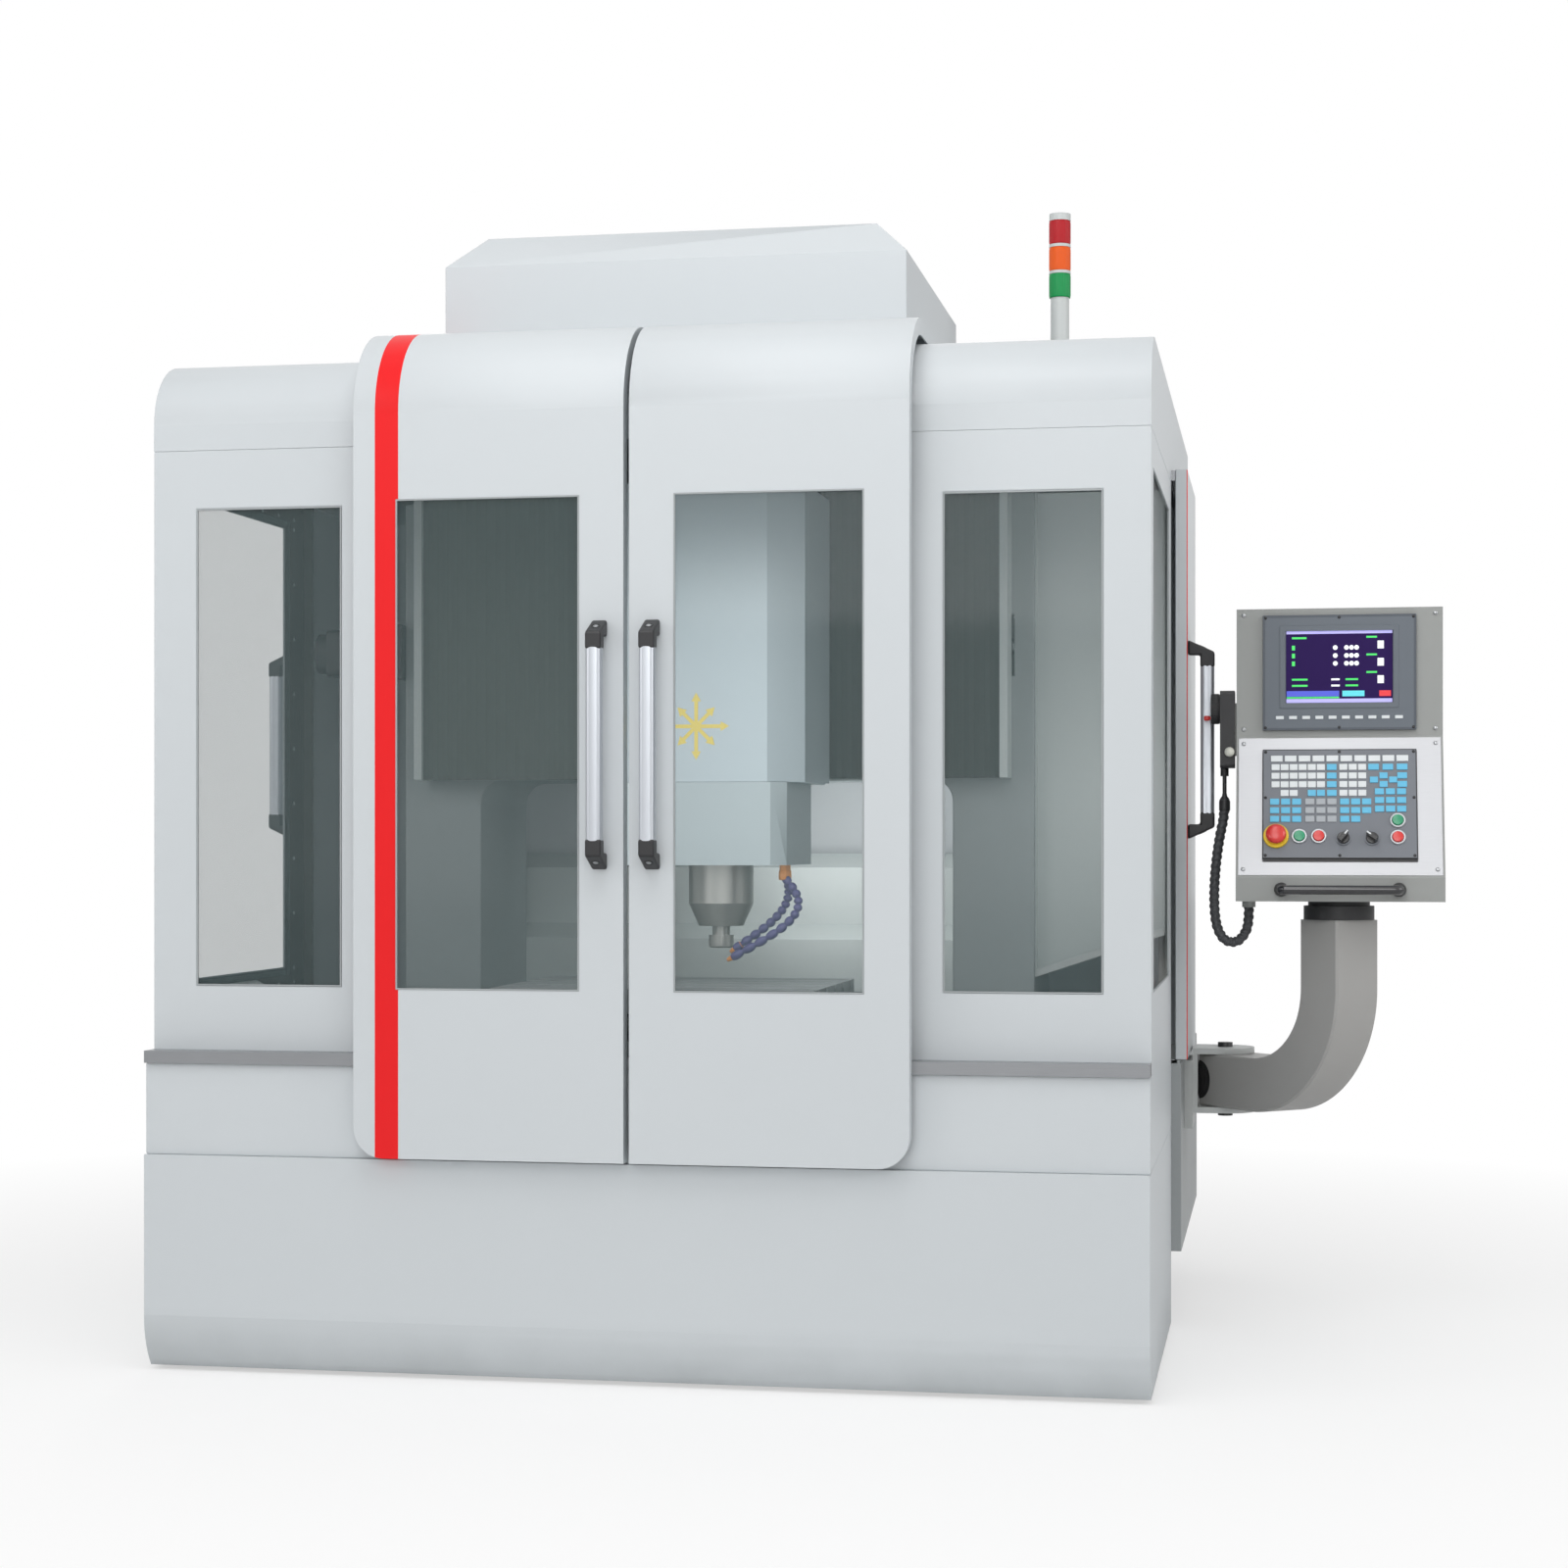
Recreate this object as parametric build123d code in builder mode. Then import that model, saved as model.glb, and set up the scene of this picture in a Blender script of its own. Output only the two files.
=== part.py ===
from build123d import *
import os
from math import cos, radians, sin, tan

os.makedirs("parts", exist_ok=True)

# CNC engraving machine: +X to the operator's right, +Y into the machine, +Z up, origin on the
# floor at the middle of the cabin. All lengths are in millimetres.

# Cabin
cabin_width = 1800
cabin_depth = 1650
front_cabin_depth = 770
skirt_top = 392
sill_z = 557
header_z = 1664
roof_z = 1835
roof_radius = 125
sheet = 3
flange = 25
fit_gap = 0.3
overrun = 5
quarter_turn = 90
half_width = cabin_width / 2
front_y = -cabin_depth / 2
back_y = cabin_depth / 2
break_y = front_y + front_cabin_depth

# Base skirt and lower band
skirt_low = 8
skirt_proud = 45
skirt_tuck = 32
skirt_tuck_height = 95
skirt_ledge = 60
band_proud = 35
rail_height = 22

# Fixed panels and windows
panel_inner = 470
window_low = 695
window_high = 1558
window_margin = 73
corner_post = 82
window_near = panel_inner + window_margin
window_far = half_width - corner_post
side_window_front = 60
side_window_length = 600
side_window_high = 1600
pane = 5
pane_lap = 14

# Front doors
door_inner = 5
door_width = 490
door_low = 397
door_top = 1875
door_proud = 75
door_depth = 30
door_radius = 165
door_back = 270
door_corner = 55
door_window_near = 84
door_window_far = 417
shoe_length = 60
shoe_inset = 90

# Bow handles
handle_dia = 28
handle_x = 47
handle_low = 906
handle_high = 1341
handle_end = 54
handle_reach = 52
handle_foot = 30
handle_slope = 24

# Rear part
box_proud = 20
box_low = 147
box_top = 518
cabinet_depth = 455
side_door_width = 440
side_door_depth = 24
side_door_lap = 26
side_door_gap = 8
side_door_lift = 7
side_rail = 20
side_rail_drop = 4
side_handle_low = 960
side_handle_high = 1355
side_handle_inset = 32
cover_gap = 12
louvre_count = 8
louvre_width = 240
louvre_height = 10
louvre_pitch = 26
louvre_z = 1330

# Top housing
housing_width = 880
housing_front = 290
housing_depth = 760
housing_top = 2106
housing_chamfer = 65
opening_margin = 15

# Stack light
light_inset = 230
light_x = half_width - light_inset
light_y_from_front = 900
light_dia = 44
light_stem = 226
light_tier = 54
light_ring = 6
light_flange_dia = 62
light_cap = 14

# Bed and feet
foot_length = 200
foot_width = 120
foot_height = 25
foot_spacing_x = 760
foot_spacing_y = 1300
anchor_dia = 18
bed_width = 880
bed_front = 45
bed_back = 980
deck_back = 1600
deck_z = 300
bed_shoulder = 430
way_z = 585
way_width = 80
way_x = 190
channel_z = 530
channel_width = 200
pad_half = 660
pad_front = 500
pad_back = 1040
pad_z = 560

# Gantry
gantry_half = 640
portal_half = 480
portal_z = 1079
portal_radius = 45
gantry_top = 1640
gantry_front = 660
gantry_depth = 340
gantry_groove = 56
gantry_groove_height = 120

# Guide rails and ball screws
guide_width = 34
guide_height = 28
x_guide_low = 1180
x_guide_high = 1500
x_screw_z = 1340
y_screw_z = 572
screw_dia = 32
z_screw_dia = 25
nut_dia = 56
nut_length = 80
block_length = 40
motor_side = 110
motor_length = 190
motor_rim = 14

# X saddle
tool_x = 60
tool_y_from_front = 450
saddle_width = 240
saddle_low = 1110
saddle_top = 1690
saddle_front = 560
saddle_slot = 64
saddle_slot_depth = 24
motor_plate = 20

# Head
head_half = 188
head_front = 245
head_back = 582
head_low = 912
head_step = 1065
head_top = 1620
head_chamfer = 60
block_half = 160
block_chamfer = 26
slide_half = 110
slide_thick = 36
slide_top = 1470
spindle_dia = 124
spindle_low = 838
spindle_taper_z = 795
spindle_taper_dia = 86
shaft_dia = 34
nut_hex_dia = 48
nut_height = 24
tool_low = 753
shaft_top = 905

# Coolant hoses
hose_x = 145
hose_from_front = 322
hose_spacing = 26
hose_bead = 15
hose_pitch = 15
bead_share = 0.62
hose_fitting_dia = 20
hose_fitting = 22
nozzle_length = 20
hose_wall = 2
hose_bow = 40
hose_drop = 152
hose_reach = 100
low_share = 0.78

# Table
table_width = 600
table_depth = 450
table_top = 690
table_thick = 45
table_front = 110
slot_count = 5
slot_width = 14
slot_depth = 12
slot_head_width = 24
slot_head_depth = 9
carriage_width = 480
carriage_length = 230

# Pleated covers
x_cover_half = 580
x_cover_low = 1079
x_cover_top = 1655
x_cover_front = 592
pleat_depth = 20
pleat_pitch = 26
pleat_wall = 2.5
end_plate = 16
end_plate_depth = 60
y_cover_half = 235
y_cover_front = 50
y_cover_back = 945

# Trays
tray_high = 680
tray_low = 424
guard_half = 560
guard_low = 640
guard_rise = 110
guard_step = 60
guard_top = 930

# Control arm
pivot_offset = 80
pivot_from_front = 1000
arm_angle = 49
arm_reach = 342
arm_side = 107
arm_wall = 5
arm_corner = 4
arm_bend = 200
arm_z = 470
arm_tail = 18
clevis_plate = 12
clevis_web = 10
bracket_base = 16
bracket_top = 512
bracket_half = 75
pin_dia = 18
pin_head_dia = 30
pin_head = 9
boot_dia = 72
collar_dia = 135
collar_rim = 10
collar_rim_dia = 118

# Control panel
panel_width = 392
panel_split = 1160
panel_rise = 248
plate_fall = 273
strip_fall = 46
collar_height = 37
panel_top = panel_split + panel_rise
panel_plate_low = panel_split - plate_fall
panel_low = panel_plate_low - strip_fall
arm_top = panel_low - collar_height
panel_lean = 95
panel_depth = 120
panel_ahead = 15
panel_corner = 6
unit_width = 290
display_height = 222
display_inset = 14
display_thick = 9
screen_width = 203
screen_height = 141
screen_drop = 29
screen_recess = 3
soft_keys = 10
soft_key = 11
soft_key_height = 6
soft_key_span = 226
soft_key_drop = 198
key_rise = 1.6
keypad_height = 222
keypad_drop = 30
keypad_thick = 6
key_height = 12
key_pitch = 17.7
button_dia = 22
button_ring_dia = 29
button_ring = 3
button_height = 8
stop_dia = 40
stop_stem = 22
stop_ring_dia = 46
stop_ring = 6
stop_height = 30
stop_round = 5
press_travel = 4
stop_spot = (-120, 208)
button_spots = (
    ("cycle_start_button", (-76, 208)),
    ("cycle_stop_button", (-39.5, 208)),
    ("power_on_button", (108.8, 176)),
    ("power_off_button", (108.8, 210)),
)
selector_spots = (("mode_selector", (6.7, 212)), ("speed_selector", (60.6, 212)))
selector_dia = 24
selector_bar = 7
selector_height = 17

# Blocks of membrane keys: first key across and down, columns, rows, column pitch, key width
key_blocks = (
    (-118.8, 49, 10, 1, 26.4, 22),
    (-121, 66.7, 6, 3, 17.2, 15),
    (-103.8, 119.8, 2, 1, 17.2, 15),
    (-52.2, 119.8, 2, 1, 17.2, 15),
    (-14.5, 66.7, 1, 4, 17.2, 18),
    (7.5, 66.7, 3, 4, 17.7, 15),
    (64.5, 66.7, 3, 1, 26.8, 20),
    (65, 93, 2, 1, 36, 15),
    (83, 84.4, 1, 2, 17.7, 15),
    (118, 84.4, 1, 2, 17.7, 18),
    (-122.7, 137.5, 3, 3, 20.8, 17),
    (-56, 137.5, 3, 3, 20.8, 17),
    (9.6, 137.5, 2, 3, 20.6, 17),
    (50.8, 137.5, 1, 2, 17.7, 17),
    (75, 117, 3, 3, 20.6, 17),
)

# Grab handle
grab_span = 236
grab_dia = 16
grab_reach = 38
grab_foot = 22

# Handwheel unit and its cord
wheel_body_width = 76
wheel_from_front = 36
wheel_body_height = 150
wheel_body_depth = 28
wheel_top_drop = 158
wheel_neck = 16
dial_dia = 60
dial_height = 18
dial_drop = 34
crank_dia = 10
crank_height = 14
crank_offset = 18
holder_height = 24
holder_depth = 4
ball_dia = 19
ball_drop = 278
lead_dia = 8
cord_dia = 20
gland_dia = 26
gland_length = 14
entry_dia = 60
bend_share = 0.45
# Route of the hose from the corner of the panel's face: across, back and up
cord_offsets = (
    (-24, 36, 197),
    (-24, 36, 167),
    (-33, 34, 127),
    (-40, 34, 79),
    (-44, 35, 29),
    (-44, 36, -19),
    (-39, 37, -56),
    (-24, 38, -81),
    (0, 38, -84),
    (17, 38, -65),
    (23, 38, -41),
    (23, 38, -14),
)


def slab(x0, x1, y0, y1, z0, z1, mode=Mode.ADD):
    """Adds or cuts the box between two corners."""
    with Locations(((x0 + x1) / 2, (y0 + y1) / 2, (z0 + z1) / 2)):
        Box(x1 - x0, y1 - y0, z1 - z0, mode=mode)


def save(part, name):
    """Labels a finished piece and writes it."""
    part.label = name
    export_step(part, f"parts/{name}.step")


def group(name, *solids):
    """Writes pieces that share a node as separate solids."""
    save(Compound(list(solids)), name)


def mirrored(part):
    """The same piece on the other side of the machine."""
    return mirror(part, about=Plane.YZ, mode=Mode.PRIVATE)


# Foot plates with their anchor holes
with BuildPart() as foot_plates:
    with GridLocations(foot_spacing_x, foot_spacing_y, 2, 2):
        Box(foot_width, foot_length, foot_height, align=(Align.CENTER, Align.CENTER, Align.MIN))
    with GridLocations(foot_spacing_x, foot_spacing_y, 2, 2):
        Cylinder(
            anchor_dia / 2,
            foot_height,
            align=(Align.CENTER, Align.CENTER, Align.MIN),
            mode=Mode.SUBTRACT,
        )
save(foot_plates.part, "foot_plates")

# Cast bed: a ribbed section along Y with two ways, and a wide pad for the gantry
bed_half = bed_width / 2
with BuildPart() as machine_bed:
    with BuildSketch(Plane.XZ.offset(-front_y - bed_front)) as bed_section:
        with BuildLine():
            Polyline(
                (-bed_half, foot_height),
                (-bed_half, bed_shoulder),
                (-way_x - way_width, channel_z),
                (-way_x - way_width / 2, channel_z),
                (-way_x - way_width / 2, way_z),
                (-way_x + way_width / 2, way_z),
                (-channel_width / 2, channel_z),
                (channel_width / 2, channel_z),
                (way_x - way_width / 2, way_z),
                (way_x + way_width / 2, way_z),
                (way_x + way_width / 2, channel_z),
                (way_x + way_width, channel_z),
                (bed_half, bed_shoulder),
                (bed_half, foot_height),
                close=True,
            )
        make_face()
    extrude(amount=-(bed_back - bed_front))
    slab(-bed_half, bed_half, front_y + bed_back, front_y + deck_back, foot_height, deck_z)
    slab(-bed_half, bed_half, back_y - cabinet_depth, front_y + deck_back, deck_z, box_top)
    for side in (-1, 1):
        near, far = sorted((side * bed_half, side * pad_half))
        slab(near, far, front_y + pad_front, front_y + pad_back, foot_height, pad_z)
    # Bearing lugs of the Y screw, one at each end of the channel
    for lug_y in (front_y + bed_front, front_y + bed_back - block_length):
        slab(-nut_dia, nut_dia, lug_y, lug_y + block_length, channel_z, y_screw_z + nut_dia / 2)
    with BuildSketch(Plane.XZ.offset(-front_y)):
        with Locations((0, y_screw_z)):
            Circle(screw_dia / 2 + fit_gap)
    extrude(amount=-(bed_back + overrun), mode=Mode.SUBTRACT)
save(machine_bed.part, "machine_bed")

# Cast gantry: a portal with rounded inner corners and a groove for the X screw
gantry_y = front_y + gantry_front
gantry_back = gantry_y + gantry_depth
with BuildPart() as gantry_casting:
    with BuildSketch(Plane.XZ.offset(-gantry_y)) as portal:
        with BuildLine():
            Polyline(
                (-gantry_half, pad_z),
                (-gantry_half, gantry_top),
                (gantry_half, gantry_top),
                (gantry_half, pad_z),
                (portal_half, pad_z),
                (portal_half, portal_z),
                (-portal_half, portal_z),
                (-portal_half, pad_z),
                close=True,
            )
        make_face()
        inner = portal.vertices().filter_by_position(Axis.Y, portal_z, portal_z)
        fillet(inner, radius=portal_radius)
    extrude(amount=-gantry_depth)
    slab(
        -gantry_half + block_length,
        gantry_half - block_length,
        gantry_y,
        gantry_y + gantry_groove,
        x_screw_z - gantry_groove_height / 2,
        x_screw_z + gantry_groove_height / 2,
        mode=Mode.SUBTRACT,
    )
    with BuildSketch(Plane.YZ.offset(-gantry_half)):
        with Locations((gantry_y + gantry_groove / 2, x_screw_z)):
            Circle(screw_dia / 2 + fit_gap)
    extrude(amount=2 * gantry_half, mode=Mode.SUBTRACT)
save(gantry_casting.part, "gantry_casting")

# Linear guide rails of the X and Y axes
y_guide_start = front_y + bed_front
y_guide_end = front_y + bed_back
with BuildPart() as linear_guide_rails:
    for side in (-1, 1):
        slab(
            side * way_x - guide_width / 2,
            side * way_x + guide_width / 2,
            y_guide_start,
            y_guide_end,
            way_z,
            way_z + guide_height,
        )
    for rail_z in (x_guide_low, x_guide_high):
        slab(
            -x_cover_half,
            x_cover_half,
            gantry_y - guide_height,
            gantry_y,
            rail_z - guide_width / 2,
            rail_z + guide_width / 2,
        )
save(linear_guide_rails.part, "linear_guide_rails")

# Ball screws: plain ground shafts in their bearing lugs
with BuildPart() as y_ball_screw:
    with BuildSketch(Plane.XZ.offset(-front_y - bed_front)):
        with Locations((0, y_screw_z)):
            Circle(screw_dia / 2)
    extrude(amount=-(bed_back - bed_front))
save(y_ball_screw.part, "y_ball_screw")

x_screw_y = gantry_y + gantry_groove / 2
with BuildPart() as x_ball_screw:
    with BuildSketch(Plane.YZ.offset(-gantry_half)):
        with Locations((x_screw_y, x_screw_z)):
            Circle(screw_dia / 2)
    extrude(amount=2 * gantry_half)
save(x_ball_screw.part, "x_ball_screw")


def servo_motor(frame):
    """A servo motor: square flange, round-cornered body and a slimmer encoder end."""
    with BuildPart() as motor:
        with BuildSketch(frame):
            Rectangle(motor_side, motor_side)
        extrude(amount=motor_rim)
        with BuildSketch(frame.offset(motor_rim)):
            RectangleRounded(motor_side - motor_rim, motor_side - motor_rim, motor_rim)
        extrude(amount=motor_length - 3 * motor_rim)
        with BuildSketch(frame.offset(motor_length - 2 * motor_rim)):
            Circle(motor_side / 2 - motor_rim)
        extrude(amount=2 * motor_rim)
    return motor.part


# Servo motors of the X and Y axes, flanged to the ends of their screws
y_motor = servo_motor(Plane((0, y_guide_end, y_screw_z), x_dir=(1, 0, 0), z_dir=(0, 1, 0)))
x_motor = servo_motor(Plane((-gantry_half, x_screw_y, x_screw_z), x_dir=(0, 1, 0), z_dir=(-1, 0, 0)))
group("servo_motors", y_motor, x_motor)

# White end plates of the pleated X cover
x_cover_y = front_y + x_cover_front
with BuildPart() as bellows_end_plates:
    for side in (-1, 1):
        near, far = sorted((side * x_cover_half, side * (x_cover_half + end_plate)))
        slab(near, far, gantry_y - end_plate_depth - pleat_depth, gantry_y, x_cover_low, x_cover_top)
save(bellows_end_plates.part, "bellows_end_plates")


def pleats(start, end, crest, depth):
    """Zigzag outline of a pleated cover between two stations, with its wall thickness."""
    count = max(2, round((end - start) / pleat_pitch))
    pitch = (end - start) / count
    outer = []
    for step in range(2 * count + 1):
        outer.append((start + step * pitch / 2, crest + depth * (step % 2)))
    inner = [(along, across + pleat_wall) for along, across in reversed(outer)]
    return outer + inner


# Pleated covers of the X axis, either side of the saddle
saddle_left = tool_x - saddle_width / 2
saddle_right = tool_x + saddle_width / 2
x_covers = []
for start, end in ((-x_cover_half, saddle_left), (saddle_right, x_cover_half)):
    with BuildPart() as x_cover:
        with BuildSketch(Plane.XY.offset(x_cover_low)):
            with BuildLine():
                Polyline(*pleats(start, end, x_cover_y, pleat_depth), close=True)
            make_face()
        extrude(amount=x_cover_top - x_cover_low)
    x_covers.append(x_cover.part)
group("x_bellows", *x_covers)

# Saddle of the X axis: plate with bearing blocks, a slot for the Z screw and its two rails
saddle_y = front_y + saddle_front
saddle_back = gantry_y - guide_height - fit_gap
block_reach = guide_height - 2 * fit_gap - guide_height / 4
z_screw_y = saddle_y - guide_height / 2
with BuildPart() as saddle_plate:
    slab(saddle_left, saddle_right, saddle_y, saddle_back, saddle_low, saddle_top)
    for rail_z in (x_guide_low, x_guide_high):
        slab(
            saddle_left,
            saddle_right,
            saddle_back,
            saddle_back + block_reach,
            rail_z - guide_width,
            rail_z + guide_width,
        )
        slab(
            saddle_left,
            saddle_right,
            saddle_back,
            saddle_back + guide_height,
            rail_z - guide_width / 2 - fit_gap,
            rail_z + guide_width / 2 + fit_gap,
            mode=Mode.SUBTRACT,
        )
    slab(
        tool_x - saddle_slot / 2,
        tool_x + saddle_slot / 2,
        saddle_y,
        saddle_y + saddle_slot_depth,
        saddle_low,
        saddle_top - block_length,
        mode=Mode.SUBTRACT,
    )
    # Nut of the X screw on the back of the saddle
    with BuildSketch(Plane.YZ.offset(tool_x - nut_length / 2)):
        with Locations((x_screw_y, x_screw_z)):
            Circle(nut_dia / 2 - pleat_wall)
        with Locations(((saddle_back + x_screw_y) / 2, x_screw_z)):
            Rectangle(x_screw_y - saddle_back, nut_dia / 2)
    extrude(amount=nut_length)
    with BuildSketch(Plane.YZ.offset(saddle_left)):
        with Locations((x_screw_y, x_screw_z)):
            Circle(screw_dia / 2 + fit_gap)
    extrude(amount=saddle_width, mode=Mode.SUBTRACT)
    # Rails of the Z axis
    for side in (-1, 1):
        rail_x = tool_x + side * (saddle_width / 2 - guide_width)
        slab(
            rail_x - guide_width / 2,
            rail_x + guide_width / 2,
            saddle_y - guide_height,
            saddle_y,
            saddle_low,
            saddle_top - block_length,
        )
    # Motor plate over the Z screw
    slab(
        saddle_left,
        saddle_right,
        saddle_y - motor_side,
        saddle_back,
        saddle_top,
        saddle_top + motor_plate,
    )
    with BuildSketch(Plane.XY.offset(saddle_low)):
        with Locations((tool_x, z_screw_y)):
            Circle(z_screw_dia / 2 + fit_gap)
    extrude(amount=saddle_top + motor_plate - saddle_low, mode=Mode.SUBTRACT)
save(saddle_plate.part, "saddle_plate")

save(servo_motor(Plane((tool_x, z_screw_y, saddle_top + motor_plate))), "z_servo_motor")

with BuildPart() as z_ball_screw:
    with BuildSketch(Plane.XY.offset(saddle_low)):
        with Locations((tool_x, z_screw_y)):
            Circle(z_screw_dia / 2)
    extrude(amount=saddle_top + motor_plate - saddle_low)
save(z_ball_screw.part, "z_ball_screw")

# Head casting: a chamfered spindle block, the slide plate behind it and the nut of the Z screw
tool_y = front_y + tool_y_from_front
head_y = front_y + head_front
slide_y = saddle_y - guide_height - fit_gap
with BuildPart() as head_casting:
    with BuildSketch(Plane.XY.offset(head_low)) as block_plan:
        with BuildLine():
            Polyline(
                (tool_x - block_half, slide_y),
                (tool_x - block_half, head_y + block_chamfer),
                (tool_x - block_half + block_chamfer, head_y),
                (tool_x + block_half - block_chamfer, head_y),
                (tool_x + block_half, head_y + block_chamfer),
                (tool_x + block_half, slide_y),
                close=True,
            )
        make_face()
    extrude(amount=head_step - head_low)
    slab(
        tool_x - slide_half,
        tool_x + slide_half,
        slide_y - slide_thick,
        slide_y,
        head_step,
        slide_top,
    )
    with BuildSketch(Plane.XY.offset(head_step + nut_length)):
        with Locations((tool_x, (slide_y + z_screw_y) / 2)):
            Rectangle(nut_dia - slot_width, z_screw_y - slide_y)
        with Locations((tool_x, z_screw_y)):
            Circle(nut_dia / 2 - slot_width / 2)
    extrude(amount=nut_length)
    with BuildSketch(Plane.XY.offset(head_low)):
        with Locations((tool_x, z_screw_y)):
            Circle(z_screw_dia / 2 + fit_gap)
    extrude(amount=slide_top - head_low, mode=Mode.SUBTRACT)
    with BuildSketch(Plane.XY.offset(head_low)):
        with Locations((tool_x, tool_y)):
            Circle(spindle_dia / 2)
    extrude(amount=head_step - head_low, mode=Mode.SUBTRACT)
save(head_casting.part, "head_casting")


def head_outline(half, front, back, corner):
    """Plan of the head cover: a box open at the back with broad chamfers at the front."""
    Polyline(
        (tool_x - half, back),
        (tool_x - half, front + corner),
        (tool_x - half + corner, front),
        (tool_x + half - corner, front),
        (tool_x + half, front + corner),
        (tool_x + half, back),
        close=True,
    )


# Sheet cover of the head, open at the back where the saddle is
head_back_y = front_y + head_back
cover_inner_chamfer = head_chamfer - sheet * tan(radians(45) / 2)
with BuildPart() as head_cover:
    with BuildSketch(Plane.XY.offset(head_step)):
        with BuildLine():
            head_outline(head_half, head_y, head_back_y, head_chamfer)
        make_face()
    extrude(amount=head_top - head_step)
    with BuildSketch(Plane.XY.offset(head_step + sheet)):
        with BuildLine():
            head_outline(
                head_half - sheet, head_y + sheet, head_back_y + overrun, cover_inner_chamfer
            )
        make_face()
    extrude(amount=head_top - head_step - 2 * sheet, mode=Mode.SUBTRACT)
    # The bottom plate is open round the slide and the spindle block's back
    slab(
        tool_x - slide_half - fit_gap,
        tool_x + slide_half + fit_gap,
        tool_y,
        head_back_y + overrun,
        head_step,
        head_step + sheet,
        mode=Mode.SUBTRACT,
    )
    slab(
        tool_x - head_half,
        tool_x + head_half,
        slide_y,
        head_back_y + overrun,
        head_step,
        head_step + sheet,
        mode=Mode.SUBTRACT,
    )
    # The top plate is cut back round the motor plate of the Z axis
    slab(
        tool_x - saddle_width / 2 - overrun,
        tool_x + saddle_width / 2 + overrun,
        saddle_y - motor_side - overrun,
        head_back_y + overrun,
        head_top - sheet,
        head_top,
        mode=Mode.SUBTRACT,
    )
save(head_cover.part, "head_cover")

# Spindle housing: a turned nose with a bore for the shaft
spindle_half = spindle_dia / 2
with BuildPart() as spindle_housing:
    with BuildSketch(Plane.XZ.offset(-tool_y)) as nose:
        with BuildLine():
            Polyline(
                (tool_x + shaft_dia / 2 + fit_gap, spindle_taper_z),
                (tool_x + spindle_taper_dia / 2, spindle_taper_z),
                (tool_x + spindle_half, spindle_low),
                (tool_x + spindle_half, head_step),
                (tool_x, head_step),
                (tool_x, shaft_top + fit_gap),
                (tool_x + shaft_dia / 2 + fit_gap, shaft_top + fit_gap),
                close=True,
            )
        make_face()
    revolve(axis=Axis((tool_x, tool_y, 0), (0, 0, 1)))
save(spindle_housing.part, "spindle_housing")

# Spindle shaft with its collet nut
with BuildPart() as spindle_shaft:
    with BuildSketch(Plane.XZ.offset(-tool_y)):
        with BuildLine():
            Polyline(
                (tool_x, tool_low),
                (tool_x + nut_hex_dia / 2 - sheet, tool_low),
                (tool_x + nut_hex_dia / 2, tool_low + sheet),
                (tool_x + nut_hex_dia / 2, tool_low + nut_height),
                (tool_x + shaft_dia / 2, tool_low + nut_height),
                (tool_x + shaft_dia / 2, shaft_top),
                (tool_x, shaft_top),
                close=True,
            )
        make_face()
    revolve(axis=Axis((tool_x, tool_y, 0), (0, 0, 1)))
save(spindle_shaft.part, "spindle_shaft")


def jointed_hose(start, corners, end):
    """A hose of stepped joint links from its fitting to the nozzle, following a bent line."""
    with BuildLine() as route:
        FilletPolyline(start, *corners, end, radius=hose_bow / 2)
    path = route.wire()
    links = round(path.length / hose_pitch)
    with BuildPart() as hose:
        with BuildSketch(Plane(start)):
            Circle(hose_fitting_dia / 2)
        extrude(amount=hose_fitting)
        for link in range(links):
            spot = path.position_at(link / links)
            aim = path.tangent_at(link / links)
            with BuildSketch(Plane(spot, z_dir=aim)):
                RegularPolygon(hose_bead / 2, 6)
            extrude(amount=path.length / links * bead_share)
            with BuildSketch(Plane(spot, z_dir=aim)):
                RegularPolygon(hose_bead / 2 - hose_wall, 6)
            extrude(amount=path.length / links + hose_wall)
        with BuildSketch(Plane(end, z_dir=path.tangent_at(1))):
            RegularPolygon(hose_bead / 2 - hose_wall, 6)
        extrude(amount=nozzle_length)
    return hose.part


# Two coolant hoses from fittings under the right front corner of the head
hose_y = front_y + hose_from_front
hoses = []
for row, bow in ((0, hose_bow), (1, -hose_wall)):
    top = (tool_x + hose_x, hose_y + row * hose_spacing, head_low - hose_fitting)
    swing = (top[0] + bow, top[1], top[2] - hose_drop / 3)
    low = (top[0] + bow / 2, top[1] + hose_spacing / 4, top[2] - hose_drop * low_share)
    tip = (top[0] - hose_reach, top[1] + hose_spacing, top[2] - hose_drop + row * hose_bead)
    hoses.append(jointed_hose(top, [swing, low], tip))
group("coolant_hoses", *hoses)

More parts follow.
